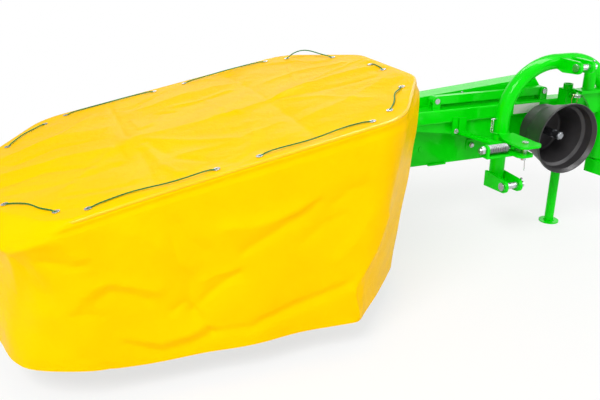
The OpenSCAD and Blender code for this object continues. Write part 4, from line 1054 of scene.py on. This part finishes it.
class MOWER_OT_hang_wires(bpy.types.Operator):
    """Hangs the wire ring on the stand's lock screw and the wire clip under the release pin"""
    bl_idname = "mower.hang_wires"
    bl_label = "Hang the wires"

    def wire_ring(self, name, middle, turn, radius, wire, squeeze):
        ring = add_object(bpy.ops.mesh.primitive_torus_add, name, major_radius=radius, minor_radius=wire,
                          major_segments=48, minor_segments=8, location=middle,
                          rotation=[math.radians(a) for a in turn])
        apply_place()
        edit_all()
        bpy.ops.transform.resize(value=(squeeze, 1.0, 1.0), center_override=middle)
        return ring

    def execute(self, context):
        settle(self.wire_ring(*LOCK_RING), "main_frame", "wire")
        leg = add_object(bpy.ops.mesh.primitive_cylinder_add, "clip_leg", vertices=10, radius=0.0016,
                         depth=0.034, location=(0.985, -0.1475, 0.430))
        apply_place()
        edit_all()
        # Its upper end leans in to the pin's hole
        pick_faces(leg, lambda centre, normal: normal.z > 0.9)
        bpy.ops.transform.translate(value=(0.001, 0.0055, 0.0))
        settle(joined([leg, self.wire_ring(*CLIP_LOOP)], "release_wire_clip"), "hitch_frame", "zinc")
        return {"FINISHED"}


class MOWER_OT_build_stage(bpy.types.Operator):
    """Builds the pale floor, the soft lamps, the white surroundings and the camera"""
    bl_idname = "mower.build_stage"
    bl_label = "Build the stage"

    def lay_floor(self, colour):
        floor = add_object(bpy.ops.mesh.primitive_plane_add, "floor", size=60.0, location=(0, 10, -0.0005))
        material, tree, shader, place = new_finish("pale_floor")
        set_sockets(shader, {"Base Color": to_linear(colour), "Roughness": 0.9, "Specular IOR Level": 0.0})
        # The floor turns to plain white for the camera, from 1.2 to 2.9 m away from the machine. Gloss
        # sees only a share of that white, which keeps the undersides' colours clear.
        middle = add_node(tree, "Mapping", [(place, "Vector")], Location=(-0.2, 10.0, 0.0))
        reach = add_node(tree, "VectorMath", [(middle.outputs[0], 0)], operation="LENGTH")
        fade = add_node(tree, "MapRange", [(reach.outputs["Value"], "Value")],
                        From_Min=1.2, From_Max=2.9, To_Min=0.72)
        rays = add_node(tree, "LightPath").outputs
        mirrored = add_node(tree, "Math", [(rays["Is Glossy Ray"], 0)], operation="MULTIPLY")
        mirrored.inputs[1].default_value = FLOOR_GLOSS
        seen = combine(tree, "MAXIMUM", rays["Is Camera Ray"], mirrored.outputs[0])
        share = combine(tree, "MULTIPLY", fade.outputs["Result"], seen)
        glow = add_node(tree, "Emission", Strength=1.0)
        blend = add_node(tree, "MixShader",
                         [(share, 0), (shader.outputs["BSDF"], 1), (glow.outputs[0], 2)])
        tree.links.new(blend.outputs[0], tree.nodes["Material Output"].inputs["Surface"])
        floor.data.materials.append(material)

    def build_room(self, sky):
        """White surroundings for the camera, dimmer for light and gloss, with a darker ceiling."""
        world = bpy.data.worlds.new("white_room")
        bpy.context.scene.world = world
        world.use_nodes = True
        tree = world.node_tree
        tree.nodes.clear()
        rays = add_node(tree, "LightPath").outputs
        dim = add_node(tree, "Background", Strength=sky, Color=WHITE)
        white = add_node(tree, "Background", Strength=1.0, Color=WHITE)
        way = add_node(tree, "TexCoord").outputs["Generated"]
        split = add_node(tree, "SeparateXYZ", [(way, "Vector")])
        walls = add_node(tree, "MapRange", [(split.outputs["Z"], "Value")],
                         From_Min=0.26, From_Max=0.40, To_Min=WALL_GLOSS, To_Max=CEILING_GLOSS)
        mirrored = combine(tree, "MULTIPLY", rays["Is Glossy Ray"], walls.outputs["Result"])
        seen = combine(tree, "MAXIMUM", rays["Is Camera Ray"], mirrored)
        blend = add_node(tree, "MixShader", [(seen, 0), (dim.outputs[0], 1), (white.outputs[0], 2)])
        output = add_node(tree, "OutputWorld")
        tree.links.new(blend.outputs[0], output.inputs["Surface"])

    def hang_lamp(self, power, name, place, aim, wide, tall, lights):
        lamp = add_object(bpy.ops.object.light_add, name, type="AREA", location=place)
        lamp.data.shape = "RECTANGLE"
        lamp.data.size = wide
        lamp.data.size_y = tall
        lamp.data.energy = power
        lamp.visible_camera = False
        lamp.visible_diffuse = lights
        lamp.rotation_euler = (Vector(aim) - Vector(place)).to_track_quat("-Z", "Y").to_euler()

    def execute(self, context):
        settings = context.scene.stage_settings
        self.lay_floor(settings.floor)
        self.build_room(settings.sky)
        for name, lamp in LAMPS.items():
            self.hang_lamp(getattr(settings, name), *lamp)
        camera = add_object(bpy.ops.object.camera_add, "photo_camera", location=CAMERA_PLACE,
                            rotation=CAMERA_TURN)
        camera.data.sensor_width = 36.0
        camera.data.lens = CAMERA_LENS
        camera.data.clip_end = 200.0
        context.scene.camera = camera
        context.scene.view_settings.view_transform = "Standard"
        return {"FINISHED"}


class MOWER_PT_panel(bpy.types.Panel):
    """Lists the steps that dress the mower"""
    bl_label = "Mower"
    bl_idname = "MOWER_PT_panel"
    bl_space_type = "VIEW_3D"
    bl_region_type = "UI"
    bl_category = "Mower"

    def draw(self, context):
        for operator in STEPS:
            self.layout.operator(operator.bl_idname)
        for group in SETTINGS:
            box = self.layout.box()
            settings = getattr(context.scene, group)
            for name in settings.bl_rna.properties.keys():
                if name not in ("rna_type", "name"):
                    box.prop(settings, name)


STEPS = [
    MOWER_OT_build_stage,
    MOWER_OT_paint_frame,
    MOWER_OT_sew_cover,
    MOWER_OT_lace_cord,
    MOWER_OT_weld_edge,
    MOWER_OT_wind_spring,
    MOWER_OT_sleeve_spring,
    MOWER_OT_stick_label,
    MOWER_OT_fit_bolts,
    MOWER_OT_lay_welds,
    MOWER_OT_hang_wires,
]
SETTINGS = {"cover_settings": CoverSettings, "paint_settings": PaintSettings, "stage_settings": StageSettings}


def register():
    for name, group in SETTINGS.items():
        bpy.utils.register_class(group)
        setattr(bpy.types.Scene, name, bpy.props.PointerProperty(type=group))
    for operator in STEPS:
        bpy.utils.register_class(operator)
    bpy.utils.register_class(MOWER_PT_panel)


def unregister():
    bpy.utils.unregister_class(MOWER_PT_panel)
    for operator in reversed(STEPS):
        bpy.utils.unregister_class(operator)
    for name, group in SETTINGS.items():
        delattr(bpy.types.Scene, name)
        bpy.utils.unregister_class(group)


def main():
    register()
    bpy.ops.mower.build_stage()
    bpy.ops.mower.paint_frame()
    bpy.ops.mower.sew_cover()
    bpy.ops.mower.lace_cord()
    bpy.ops.mower.weld_edge()
    bpy.ops.mower.wind_spring()
    bpy.ops.mower.sleeve_spring()
    bpy.ops.mower.stick_label()
    bpy.ops.mower.fit_bolts()
    bpy.ops.mower.lay_welds()
    bpy.ops.mower.hang_wires()


if __name__ == "__main__":
    main()
